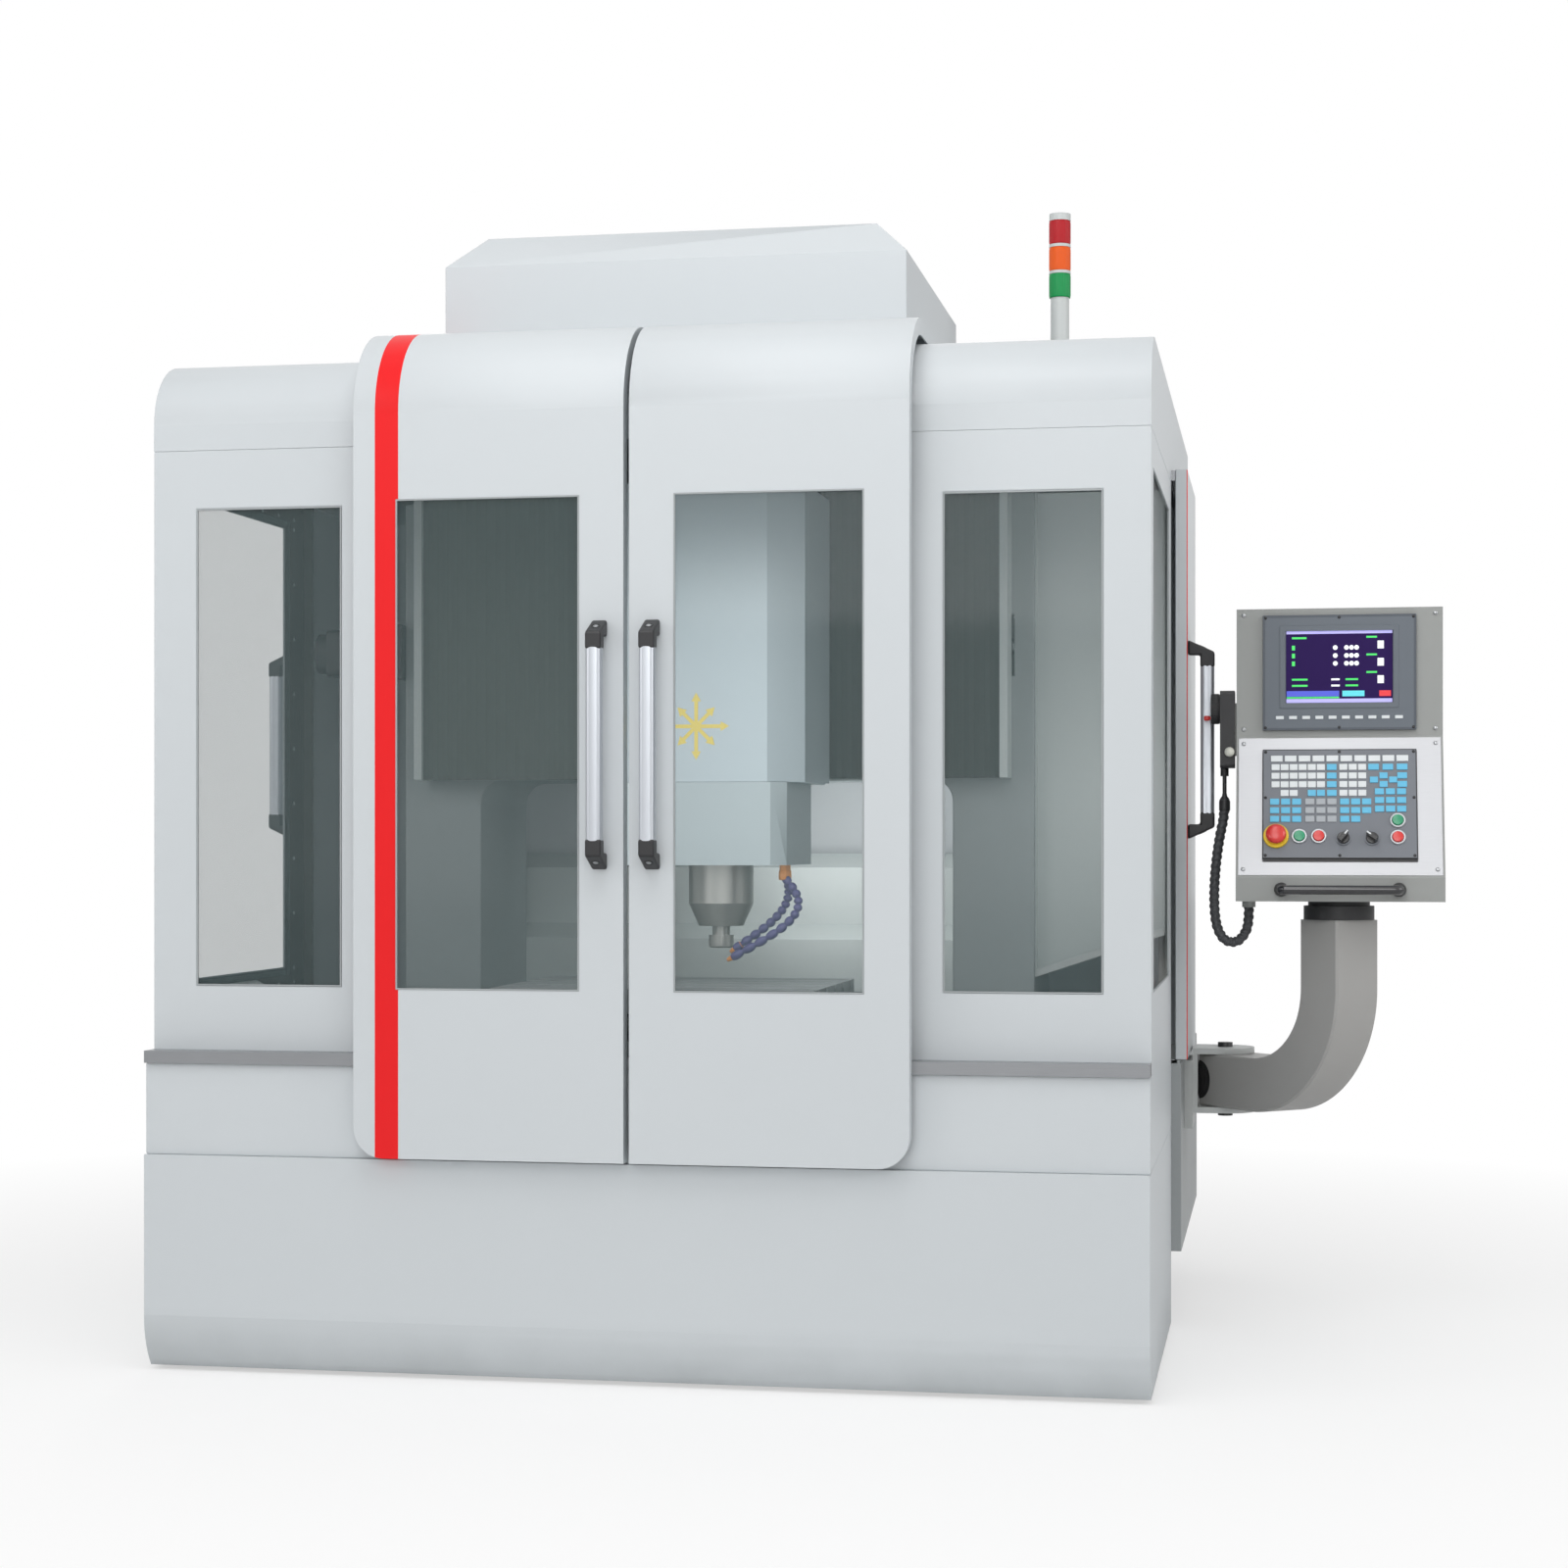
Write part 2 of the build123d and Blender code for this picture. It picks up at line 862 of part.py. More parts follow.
# Table with T-slots, on a carriage whose blocks ride the Y rails
table_y = front_y + table_front
table_mid = table_y + table_depth / 2
carriage_front = table_mid - carriage_length / 2
carriage_back = table_mid + carriage_length / 2
carriage_z = way_z + guide_height + fit_gap
table_low = table_top - table_thick
with BuildPart() as t_slot_table:
    slab(-table_width / 2, table_width / 2, table_y, table_y + table_depth, table_low, table_top)
    with BuildSketch(Plane.YZ.offset(-table_width / 2)):
        with Locations((table_mid, table_top - slot_depth / 2)):
            with GridLocations(table_depth / slot_count, 0, slot_count, 1):
                Rectangle(slot_width, slot_depth)
        with Locations((table_mid, table_top - slot_depth - slot_head_depth / 2)):
            with GridLocations(table_depth / slot_count, 0, slot_count, 1):
                Rectangle(slot_head_width, slot_head_depth)
    extrude(amount=table_width, mode=Mode.SUBTRACT)
    slab(
        -carriage_width / 2,
        carriage_width / 2,
        carriage_front,
        carriage_back,
        carriage_z,
        table_low,
    )
    for side in (-1, 1):
        slab(
            side * way_x - guide_width,
            side * way_x + guide_width,
            carriage_front,
            carriage_back,
            way_z + guide_height / 4,
            carriage_z,
        )
        slab(
            side * way_x - guide_width / 2 - fit_gap,
            side * way_x + guide_width / 2 + fit_gap,
            carriage_front,
            carriage_back,
            way_z,
            carriage_z,
            mode=Mode.SUBTRACT,
        )
    with BuildSketch(Plane.XZ.offset(-table_mid - nut_length / 2)):
        with Locations((0, y_screw_z)):
            Circle(nut_dia / 2)
        with Locations((0, (y_screw_z + carriage_z) / 2)):
            Rectangle(nut_dia, carriage_z - y_screw_z)
    extrude(amount=nut_length)
    with BuildSketch(Plane.XZ.offset(-table_mid - nut_length / 2)):
        with Locations((0, y_screw_z)):
            Circle(screw_dia / 2 + fit_gap)
    extrude(amount=nut_length, mode=Mode.SUBTRACT)
save(t_slot_table.part, "t_slot_table")

# Pleated covers of the Y axis, before and behind the carriage
y_cover_z = carriage_z + pleat_wall
y_covers = []
y_cover_spans = (
    (front_y + y_cover_front, carriage_front),
    (carriage_back, front_y + y_cover_back),
)
for start, end in y_cover_spans:
    with BuildPart() as y_cover:
        with BuildSketch(Plane.YZ.offset(-y_cover_half)):
            with BuildLine():
                Polyline(*pleats(start, end, y_cover_z, pleat_depth), close=True)
            make_face()
        extrude(amount=2 * y_cover_half)
    y_covers.append(y_cover.part)
group("y_bellows", *y_covers)

# Chip trays that slope from the side walls to the bed, and the folded guard behind the gantry
tray_outer = half_width - sheet
with BuildPart() as right_tray:
    with BuildSketch(Plane.XZ.offset(-front_y - bed_front)):
        with BuildLine():
            Polyline(
                (bed_half, tray_low),
                (bed_half, tray_low - sheet),
                (tray_outer, tray_high - sheet),
                (tray_outer, tray_high),
                close=True,
            )
        make_face()
    extrude(amount=-(pad_front - bed_front))
guard_y = gantry_back
guard_line = (
    (guard_y, guard_low),
    (guard_y, guard_low + guard_rise),
    (guard_y + guard_step, guard_low + guard_rise + guard_step / 2),
    (guard_y + guard_step, guard_top - guard_step / 2),
    (guard_y + 2 * guard_step, guard_top),
)
with BuildPart() as guard:
    with BuildSketch(Plane.YZ.offset(-guard_half)):
        with BuildLine():
            Polyline(
                *guard_line,
                *[(along + sheet, up - sheet / 2) for along, up in reversed(guard_line)],
                close=True,
            )
        make_face()
    extrude(amount=2 * guard_half)
group("chip_trays", right_tray.part, mirrored(right_tray.part), guard.part)

# Base skirt: a folded tray that tucks in at the foot, with a ledge round its top
skirt_y = front_y - skirt_proud


def skirt_profile(inset, top, low, back):
    """Side view of the skirt: an upright front that curves under towards the floor."""
    front = skirt_y + inset
    heel = front + skirt_tuck
    corners = [(back, low), (back, top), (front, top), (front, skirt_low + skirt_tuck_height)]
    if low < skirt_low:
        corners.insert(0, (heel, low))
    Polyline((heel, skirt_low), *corners)
    TangentArc(corners[-1], (heel, skirt_low), tangent=(0, -1))


with BuildPart() as base_skirt:
    with BuildSketch(Plane.YZ.offset(-half_width)):
        with BuildLine():
            skirt_profile(0, skirt_top, skirt_low, break_y)
        make_face()
    extrude(amount=cabin_width)
    with BuildSketch(Plane.YZ.offset(-half_width + sheet)):
        with BuildLine():
            skirt_profile(sheet, skirt_top - sheet, skirt_low - overrun, break_y + overrun)
        make_face()
    extrude(amount=cabin_width - 2 * sheet, mode=Mode.SUBTRACT)
    slab(
        -half_width + skirt_ledge,
        half_width - skirt_ledge,
        skirt_y + skirt_ledge,
        break_y,
        skirt_top - sheet,
        skirt_top,
        mode=Mode.SUBTRACT,
    )
save(base_skirt.part, "base_skirt")

# Lower front band: a folded channel with closed ends, which carries the front rail
band_y = front_y - band_proud
with BuildPart() as lower_band:
    slab(-half_width, half_width, band_y, front_y + flange, skirt_top, sill_z)
    slab(
        -half_width + sheet,
        half_width - sheet,
        band_y + sheet,
        front_y + flange,
        skirt_top + sheet,
        sill_z - sheet,
        mode=Mode.SUBTRACT,
    )
save(lower_band.part, "lower_band")

# Guide rails of the front doors and of the side doors
rail_proud = door_proud - door_depth - fit_gap
side_door_x = half_width + side_door_gap
with BuildPart() as door_guide_rails:
    slab(-half_width, half_width, front_y - rail_proud, front_y, sill_z, sill_z + rail_height)
    for side in (-1, 1):
        near, far = sorted((side * half_width, side * (side_door_x - fit_gap)))
        slab(near, far, break_y, back_y, header_z + side_rail_drop, header_z + side_rail_drop + side_rail)
save(door_guide_rails.part, "door_guide_rails")

# Fixed front panels: folded pans with a window
with BuildPart() as right_front_panel:
    slab(panel_inner, half_width, front_y, front_y + flange, sill_z, header_z)
    slab(
        panel_inner + sheet,
        half_width - sheet,
        front_y + sheet,
        front_y + flange,
        sill_z + sheet,
        header_z - sheet,
        mode=Mode.SUBTRACT,
    )
    slab(
        window_near,
        window_far,
        front_y,
        front_y + sheet,
        window_low,
        window_high,
        mode=Mode.SUBTRACT,
    )
group("front_panels", right_front_panel.part, mirrored(right_front_panel.part))

# Side panels of the front cabin
side_window_y = front_y + side_window_front
with BuildPart() as right_side_panel:
    slab(half_width - flange, half_width, front_y + flange, break_y, skirt_top, header_z)
    slab(
        half_width - flange,
        half_width - sheet,
        front_y + flange + sheet,
        break_y - sheet,
        skirt_top + sheet,
        header_z - sheet,
        mode=Mode.SUBTRACT,
    )
    slab(
        half_width - sheet,
        half_width,
        side_window_y,
        side_window_y + side_window_length,
        window_low,
        side_window_high,
        mode=Mode.SUBTRACT,
    )
group("side_panels", right_side_panel.part, mirrored(right_side_panel.part))

# Fixed panes, seated on the inside of their panels
with BuildPart() as right_front_pane:
    slab(
        window_near - pane_lap,
        window_far + pane_lap,
        front_y + sheet,
        front_y + sheet + pane,
        window_low - pane_lap,
        window_high + pane_lap,
    )
with BuildPart() as right_side_pane:
    slab(
        half_width - sheet - pane,
        half_width - sheet,
        side_window_y - pane_lap,
        side_window_y + side_window_length + pane_lap,
        window_low - pane_lap,
        side_window_high + pane_lap,
    )
group(
    "fixed_windows",
    right_front_pane.part,
    mirrored(right_front_pane.part),
    right_side_pane.part,
    mirrored(right_side_pane.part),
)


def roof_profile(inset, low, back):
    """Side view of the roof cover: upright front, quarter-round shoulder, flat top."""
    radius = roof_radius - inset
    Polyline(
        (front_y + roof_radius, roof_z - inset),
        (back, roof_z - inset),
        (back, low),
        (front_y + inset, low),
        (front_y + inset, roof_z - roof_radius),
    )
    RadiusArc(
        (front_y + inset, roof_z - roof_radius),
        (front_y + roof_radius, roof_z - inset),
        radius,
    )


# Roof cover with the opening under the top housing
housing_y = front_y + housing_front
housing_half = housing_width / 2
with BuildPart() as roof_cover:
    with BuildSketch(Plane.YZ.offset(-half_width)):
        with BuildLine():
            roof_profile(0, header_z, back_y)
        make_face()
    extrude(amount=cabin_width)
    with BuildSketch(Plane.YZ.offset(-half_width + sheet)):
        with BuildLine():
            roof_profile(sheet, header_z - overrun, back_y - sheet)
        make_face()
    extrude(amount=cabin_width - 2 * sheet, mode=Mode.SUBTRACT)
    slab(
        -housing_half + opening_margin,
        housing_half - opening_margin,
        housing_y + opening_margin,
        housing_y + housing_depth - opening_margin,
        roof_z - sheet,
        roof_z,
        mode=Mode.SUBTRACT,
    )
save(roof_cover.part, "roof_cover")

# Top housing over the Z motor: a hipped sheet cover
with BuildPart() as housing_core:
    slab(
        -housing_half + sheet,
        housing_half - sheet,
        housing_y + sheet,
        housing_y + housing_depth - sheet,
        roof_z,
        housing_top - sheet,
    )
    chamfer(housing_core.faces().sort_by(Axis.Z)[-1].edges(), length=housing_chamfer)
with BuildPart() as top_housing:
    slab(-housing_half, housing_half, housing_y, housing_y + housing_depth, roof_z, housing_top)
    chamfer(top_housing.faces().sort_by(Axis.Z)[-1].edges(), length=housing_chamfer)
    add(housing_core.part, mode=Mode.SUBTRACT)
save(top_housing.part, "top_housing")

# Lower boxes of the rear part, open towards the bed, with the foot rail of the side door
box_outer = half_width + box_proud
side_door_low = box_top + side_door_lift
with BuildPart() as right_side_box:
    slab(pad_half, box_outer, break_y, back_y, box_low, box_top)
    slab(
        pad_half,
        box_outer - sheet,
        break_y + sheet,
        back_y - sheet,
        box_low + sheet,
        box_top - sheet,
        mode=Mode.SUBTRACT,
    )
    slab(
        side_door_x + sheet,
        box_outer - sheet,
        break_y,
        back_y,
        box_top,
        side_door_low - fit_gap,
    )
group("side_boxes", right_side_box.part, mirrored(right_side_box.part))

# Rear cabinet, open below for its cables, with screwed covers and louvres at the back
cabinet_y = back_y - cabinet_depth
cabinet_half = half_width - sheet
with BuildPart() as rear_cabinet:
    slab(-cabinet_half, cabinet_half, cabinet_y, back_y - sheet, box_top, header_z)
    slab(
        -cabinet_half + sheet,
        cabinet_half - sheet,
        cabinet_y + sheet,
        back_y - 2 * sheet,
        box_top,
        header_z - sheet,
        mode=Mode.SUBTRACT,
    )
    for side in (-1, 1):
        near, far = sorted((side * cover_gap / 2, side * (cabinet_half - flange)))
        slab(near, far, back_y - sheet, back_y, box_top + flange, header_z - flange)
        for row in range(louvre_count):
            with Locations((side * cabinet_half / 2, back_y, louvre_z + row * louvre_pitch)):
                Box(louvre_width, cabinet_depth / 2, louvre_height, mode=Mode.SUBTRACT)
save(rear_cabinet.part, "rear_cabinet")

# Stack light: flanged stem with rings and a cap, and three lenses between the rings
light_y = front_y + light_y_from_front
lens_z = roof_z + light_stem
light_radius = light_dia / 2
light_parts = []
with BuildPart() as light_stem_piece:
    with BuildSketch(Plane.XY.offset(roof_z)):
        with Locations((light_x, light_y)):
            Circle(light_flange_dia / 2)
    extrude(amount=light_ring)
    with BuildSketch(Plane.XY.offset(roof_z)):
        with Locations((light_x, light_y)):
            Circle(light_radius - light_ring / 2)
    extrude(amount=light_stem)
light_parts.append(light_stem_piece.part)
for tier in range(1, 4):
    top_tier = tier == 3
    with BuildPart() as ring:
        with BuildSketch(Plane.XY.offset(lens_z + tier * light_tier - light_ring)):
            with Locations((light_x, light_y)):
                Circle(light_radius)
        extrude(amount=light_cap if top_tier else light_ring)
    light_parts.append(ring.part)
group("stack_light_base", *light_parts)
lenses = []
for tier in range(3):
    with BuildPart() as lens:
        with BuildSketch(Plane.XY.offset(lens_z + tier * light_tier)):
            with Locations((light_x, light_y)):
                Circle(light_radius)
        extrude(amount=light_tier - light_ring)
    lenses.append(lens.part)
group("stack_light_lenses", *lenses)

# Front doors: arched folded pans that reach back over the roof
door_y = front_y - door_proud
door_outer = door_inner + door_width


def door_profile(inset, low, back):
    """Side view of a door face: upright, then a quarter round, then flat over the roof."""
    Line((door_y + inset, low), (door_y + inset, door_top - door_radius))
    RadiusArc(
        (door_y + inset, door_top - door_radius),
        (door_y + door_radius, door_top - inset),
        door_radius - inset,
    )
    Line((door_y + door_radius, door_top - inset), (back, door_top - inset))


def door_band(start, length, outer_inset, inner_inset, low, back, corner):
    """Thickness of a door between two faces, with its lower outer corner rounded."""
    with BuildPart() as band:
        with BuildSketch(Plane.YZ.offset(start)):
            with BuildLine():
                door_profile(outer_inset, low, back)
                door_profile(inner_inset, low, back)
                Line((door_y + outer_inset, low), (door_y + inner_inset, low))
                Line((back, door_top - outer_inset), (back, door_top - inner_inset))
            make_face()
        extrude(amount=length)
        foot = band.edges().filter_by(Axis.Y).group_by(Axis.Z)[0].sort_by(Axis.X)[-1]
        fillet(foot, radius=corner)
    return band.part


door_end = front_y + door_back
shoe_z = sill_z + rail_height / 2
outer_band = door_band(door_inner, door_width, 0, door_depth, door_low, door_end, door_corner)
inner_band = door_band(
    door_inner + sheet,
    door_width - 2 * sheet,
    sheet,
    door_depth + overrun,
    door_low + sheet,
    door_end - sheet,
    door_corner - sheet,
)
with BuildPart() as right_door_panel:
    add(outer_band)
    add(inner_band, mode=Mode.SUBTRACT)
    slab(
        door_window_near,
        door_window_far,
        door_y,
        door_y + sheet,
        window_low,
        window_high,
        mode=Mode.SUBTRACT,
    )
    # Guide shoes: two against the front rail and two on the roof
    for shoe_x in (door_inner + shoe_inset, door_outer - shoe_inset):
        slab(
            shoe_x - shoe_length / 2,
            shoe_x + shoe_length / 2,
            door_y + sheet,
            front_y - rail_proud - fit_gap,
            shoe_z - rail_height / 4,
            shoe_z + rail_height / 4,
        )
        slab(
            shoe_x - shoe_length / 2,
            shoe_x + shoe_length / 2,
            door_end - shoe_length,
            door_end - sheet,
            roof_z + fit_gap,
            door_top - sheet,
        )
save(right_door_panel.part, "right_door_panel")
save(mirrored(right_door_panel.part), "left_door_panel")

with BuildPart() as right_door_window:
    slab(
        door_window_near - pane_lap,
        door_window_far + pane_lap,
        door_y + sheet,
        door_y + sheet + pane,
        window_low - pane_lap,
        window_high + pane_lap,
    )
save(right_door_window.part, "right_door_window")
save(mirrored(right_door_window.part), "left_door_window")


def bow_handle(frame, low, high):
    """A round bar between two angled ends. The frame's x points out of the door, its y upwards."""
    pieces = []
    for tip, turn in ((high, -1), (low, 1)):
        with BuildPart() as end:
            with BuildSketch(frame.offset(-handle_dia / 2)):
                with BuildLine():
                    Polyline(
                        (0, tip),
                        (handle_reach, tip + turn * handle_slope),
                        (handle_reach, tip + turn * handle_end),
                        (handle_reach - handle_dia, tip + turn * handle_end),
                        (handle_reach - handle_dia, tip + turn * handle_foot),
                        (0, tip + turn * handle_foot),
                        close=True,
                    )
                make_face()
            extrude(amount=handle_dia)
        pieces.append(end.part)
    axis_point = frame.from_local_coords((handle_reach - handle_dia / 2, low + handle_end, 0))
    with BuildPart() as bar:
        with BuildSketch(Plane(axis_point)):
            Circle(handle_dia / 2)
        extrude(amount=high - low - 2 * handle_end)
    pieces.append(bar.part)
    return pieces


for name, side in (("left_door_handle", -1), ("right_door_handle", 1)):
    frame = Plane((side * handle_x, door_y, 0), x_dir=(0, -1, 0), z_dir=(-1, 0, 0))
    group(name, *bow_handle(frame, handle_low, handle_high))

# Side doors of the rear part: folded pans that slide back over the cabinet
side_door_y = break_y + sheet
side_door_top = header_z + side_door_lap
side_door_outer = side_door_x + side_door_depth
with BuildPart() as right_side_door:
    slab(
        side_door_x,
        side_door_outer,
        side_door_y,
        side_door_y + side_door_width,
        side_door_low,
        side_door_top,
    )
    slab(
        side_door_x,
        side_door_outer - sheet,
        side_door_y + sheet,
        side_door_y + side_door_width - sheet,
        side_door_low + sheet,
        header_z,
        mode=Mode.SUBTRACT,
    )
save(right_side_door.part, "right_side_door")
save(mirrored(right_side_door.part), "left_side_door")
for name, side in (("left_side_door_handle", -1), ("right_side_door_handle", 1)):
    frame = Plane(
        (side * side_door_outer, side_door_y + side_handle_inset, 0),
        x_dir=(side, 0, 0),
        z_dir=(0, -side, 0),
    )
    group(name, *bow_handle(frame, side_handle_low, side_handle_high))

# Arm bracket: base plate, web and two clevis plates with their pivot pins
pivot_x = box_outer + pivot_offset
pivot_y = front_y + pivot_from_front
web_x = box_outer + bracket_base
web_face = web_x + clevis_web
clevis_top = arm_z + arm_side / 2 + fit_gap
clevis_low = arm_z - arm_side / 2 - fit_gap
clevis_half = bracket_half - bracket_base
with BuildPart() as arm_bracket:
    slab(
        box_outer,
        web_x,
        pivot_y - bracket_half,
        pivot_y + bracket_half,
        2 * arm_z - clevis_top - (bracket_top - arm_z),
        bracket_top,
    )
    slab(
        web_x,
        web_face,
        pivot_y - clevis_half,
        pivot_y + clevis_half,
        clevis_low - clevis_plate,
        clevis_top + clevis_plate,
    )
    for plate_z, pin_z, head_z in (
        (clevis_top, clevis_top - arm_wall, clevis_top + clevis_plate),
        (clevis_low - clevis_plate, clevis_low - clevis_plate, clevis_low - clevis_plate - pin_head),
    ):
        with BuildSketch(Plane.XY.offset(plate_z)):
            with Locations(((web_x + pivot_x) / 2, pivot_y)):
                Rectangle(pivot_x - web_x, 2 * clevis_half)
            with Locations((pivot_x, pivot_y)):
                Circle(clevis_half)
        extrude(amount=clevis_plate)
        with BuildSketch(Plane.XY.offset(pin_z)):
            with Locations((pivot_x, pivot_y)):
                Circle(pin_dia / 2)
        extrude(amount=clevis_plate + arm_wall)
        with BuildSketch(Plane.XY.offset(head_z)):
            with Locations((pivot_x, pivot_y)):
                Circle(pin_head_dia / 2)
        extrude(amount=pin_head)
save(arm_bracket.part, "arm_bracket")

# Control arm: a bent square tube that swings on the pins
aim = (cos(radians(arm_angle)), -sin(radians(arm_angle)), 0)
arm_plane = Plane((pivot_x, pivot_y, arm_z), x_dir=aim, z_dir=(aim[1], -aim[0], 0))
with BuildPart() as control_arm:
    with BuildLine(arm_plane) as arm_line:
        FilletPolyline(
            (-arm_tail, 0),
            (arm_reach, 0),
            (arm_reach, arm_top - arm_z),
            radius=arm_bend,
        )
    with BuildSketch(Plane(arm_line.wire() @ 0, x_dir=(0, 0, 1), z_dir=aim)) as arm_section:
        Rectangle(arm_side, arm_side)
        chamfer(arm_section.vertices(), length=arm_corner)
        Rectangle(arm_side - 2 * arm_wall, arm_side - 2 * arm_wall, mode=Mode.SUBTRACT)
    sweep(path=arm_line.wire())
    with BuildSketch(Plane.XY.offset(clevis_low)):
        with Locations((pivot_x, pivot_y)):
            Circle(pin_dia / 2 + fit_gap)
    extrude(amount=clevis_top - clevis_low, mode=Mode.SUBTRACT)
save(control_arm.part, "control_arm")

# Rubber boot that leads the cables from the bracket into the arm
with BuildPart() as cable_boot:
    with BuildSketch(Plane((pivot_x, pivot_y, arm_z), z_dir=aim)):
        Circle(boot_dia / 2)
    extrude(amount=arm_tail)
    extrude(cable_boot.faces().sort_by(Axis.X)[0], amount=arm_reach / 2)
    slab(
        -web_face,
        web_face,
        pivot_y - arm_reach,
        pivot_y + arm_reach,
        arm_z - boot_dia,
        arm_z + boot_dia,
        mode=Mode.SUBTRACT,
    )
save(cable_boot.part, "cable_boot")

# Collar between the arm and the panel
axis_x = pivot_x + arm_reach * aim[0]
axis_y = pivot_y + arm_reach * aim[1]
with BuildPart() as arm_collar:
    with BuildSketch(Plane.XY.offset(arm_top + fit_gap)):
        with Locations((axis_x, axis_y)):
            Circle(collar_dia / 2)
    extrude(amount=panel_low - arm_top - fit_gap - collar_rim)
    with BuildSketch(Plane.XY.offset(panel_low - collar_rim)):
        with Locations((axis_x, axis_y)):
            Circle(collar_rim_dia / 2)
    extrude(amount=collar_rim)
    with BuildSketch(Plane.XY.offset(arm_top)):
        with Locations((axis_x, axis_y)):
            Circle(entry_dia / 2)
    extrude(amount=panel_low - arm_top, mode=Mode.SUBTRACT)
save(arm_collar.part, "arm_collar")

# Panel housing: a sheet box, upright above and leaning out below, with the holder of the handwheel
face_y = axis_y - panel_ahead
foot_y = face_y - panel_lean
panel_back = face_y + panel_depth
panel_left = axis_x - panel_width / 2
plate = Plane((axis_x, face_y, panel_split), x_dir=(1, 0, 0), z_dir=(0, -plate_fall, panel_lean))
wheel_y = face_y + wheel_from_front
wheel_high = panel_top - wheel_top_drop
wheel_low = wheel_high - wheel_body_height
wheel_back = panel_left - holder_depth
wheel_front = wheel_back - wheel_body_depth
cord_line = [(panel_left + dx, face_y + dy, panel_low + dz) for dx, dy, dz in cord_offsets]
hole_spots = [(stop_spot, stop_stem)]
hole_spots += [(spot, button_dia) for name, spot in button_spots]
hole_spots += [(spot, selector_dia / 2) for name, spot in selector_spots]


def panel_profile():
    """Side view of the panel housing."""
    Polyline(
        (face_y, panel_top),
        (face_y, panel_split),
        (foot_y, panel_plate_low),
        (foot_y, panel_low),
        (panel_back, panel_low),
        (panel_back, panel_top),
        close=True,
    )


with BuildPart() as panel_housing:
    with BuildSketch(Plane.YZ.offset(panel_left)):
        with BuildLine():
            panel_profile()
        make_face()
    extrude(amount=panel_width)
    with BuildSketch(Plane.YZ.offset(panel_left + sheet)):
        with BuildLine():
            panel_profile()
        make_face()
        offset(amount=-sheet, kind=Kind.INTERSECTION, mode=Mode.REPLACE)
    extrude(amount=panel_width - 2 * sheet, mode=Mode.SUBTRACT)
    with BuildSketch(Plane.XY.offset(panel_low)):
        with Locations((axis_x, axis_y)):
            Circle(entry_dia / 2)
    extrude(amount=sheet, mode=Mode.SUBTRACT)
    for (across, down), dia in hole_spots:
        with BuildSketch(plate.offset(-overrun)):
            with Locations((across, -down)):
                Circle(dia / 2 + fit_gap)
        extrude(amount=overrun, mode=Mode.SUBTRACT)
    slab(
        wheel_back,
        panel_left,
        wheel_y - holder_height,
        wheel_y + holder_height,
        wheel_low + holder_height,
        wheel_high - holder_height,
    )
    with BuildSketch(Plane.XY.offset(panel_low - gland_length)):
        with Locations((cord_line[-1][0], cord_line[-1][1])):
            Circle(gland_dia / 2)
    extrude(amount=gland_length)
save(panel_housing.part, "panel_housing")

# Display unit: a bezel with a sunk screen and a row of soft keys
display_top = panel_top - display_inset
with BuildPart() as display_unit:
    slab(
        axis_x - unit_width / 2,
        axis_x + unit_width / 2,
        face_y - display_thick,
        face_y,
        display_top - display_height,
        display_top,
    )
    slab(
        axis_x - screen_width / 2,
        axis_x + screen_width / 2,
        face_y - display_thick,
        face_y - display_thick + screen_recess,
        display_top - screen_drop - screen_height,
        display_top - screen_drop,
        mode=Mode.SUBTRACT,
    )
    with BuildSketch(Plane.XZ.offset(-face_y + display_thick)):
        with Locations((axis_x, display_top - soft_key_drop)):
            with GridLocations(soft_key_span / (soft_keys - 1), 0, soft_keys, 1):
                Rectangle(soft_key, soft_key_height)
    extrude(amount=key_rise)
save(display_unit.part, "display_unit")

# Keypad unit on the leaning plate, with the rings of its buttons
with BuildPart() as keypad_unit:
    with BuildSketch(plate):
        with Locations((0, -keypad_drop - keypad_height / 2)):
            Rectangle(unit_width, keypad_height)
    extrude(amount=keypad_thick)
    with BuildSketch(plate.offset(keypad_thick)):
        for across, down, columns, rows, pitch, key_width in key_blocks:
            middle = (across + (columns - 1) * pitch / 2, -down - (rows - 1) * key_pitch / 2)
            with Locations(middle):
                with GridLocations(pitch, key_pitch, columns, rows):
                    Rectangle(key_width, key_height)
    extrude(amount=key_rise)
    with BuildSketch(plate.offset(keypad_thick)):
        with Locations((stop_spot[0], -stop_spot[1])):
            Circle(stop_ring_dia / 2)
    extrude(amount=stop_ring)
    with BuildSketch(plate.offset(keypad_thick)):
        for name, (across, down) in button_spots + selector_spots:
            with Locations((across, -down)):
                Circle(button_ring_dia / 2)
    extrude(amount=button_ring)
    for (across, down), dia in hole_spots:
        with BuildSketch(plate):
            with Locations((across, -down)):
                Circle(dia / 2 + fit_gap)
        extrude(amount=keypad_thick + stop_ring, mode=Mode.SUBTRACT)
save(keypad_unit.part, "keypad_unit")

# Emergency stop: a mushroom head on its stem
stem_low = -press_travel
with BuildPart() as e_stop_button:
    with BuildSketch(plate.offset(stem_low)):
        with Locations((stop_spot[0], -stop_spot[1])):
            Circle(stop_stem / 2)
    extrude(amount=stop_height - stem_low - stop_round)
    with BuildSketch(plate.offset(keypad_thick + stop_ring + press_travel + fit_gap)):
        with Locations((stop_spot[0], -stop_spot[1])):
            Circle(stop_dia / 2)
    extrude(amount=stop_height - keypad_thick - stop_ring - press_travel)
    chamfer(e_stop_button.edges().sort_by(Axis(plate.origin, plate.z_dir))[-1], length=stop_round)
save(e_stop_button.part, "e_stop_button")

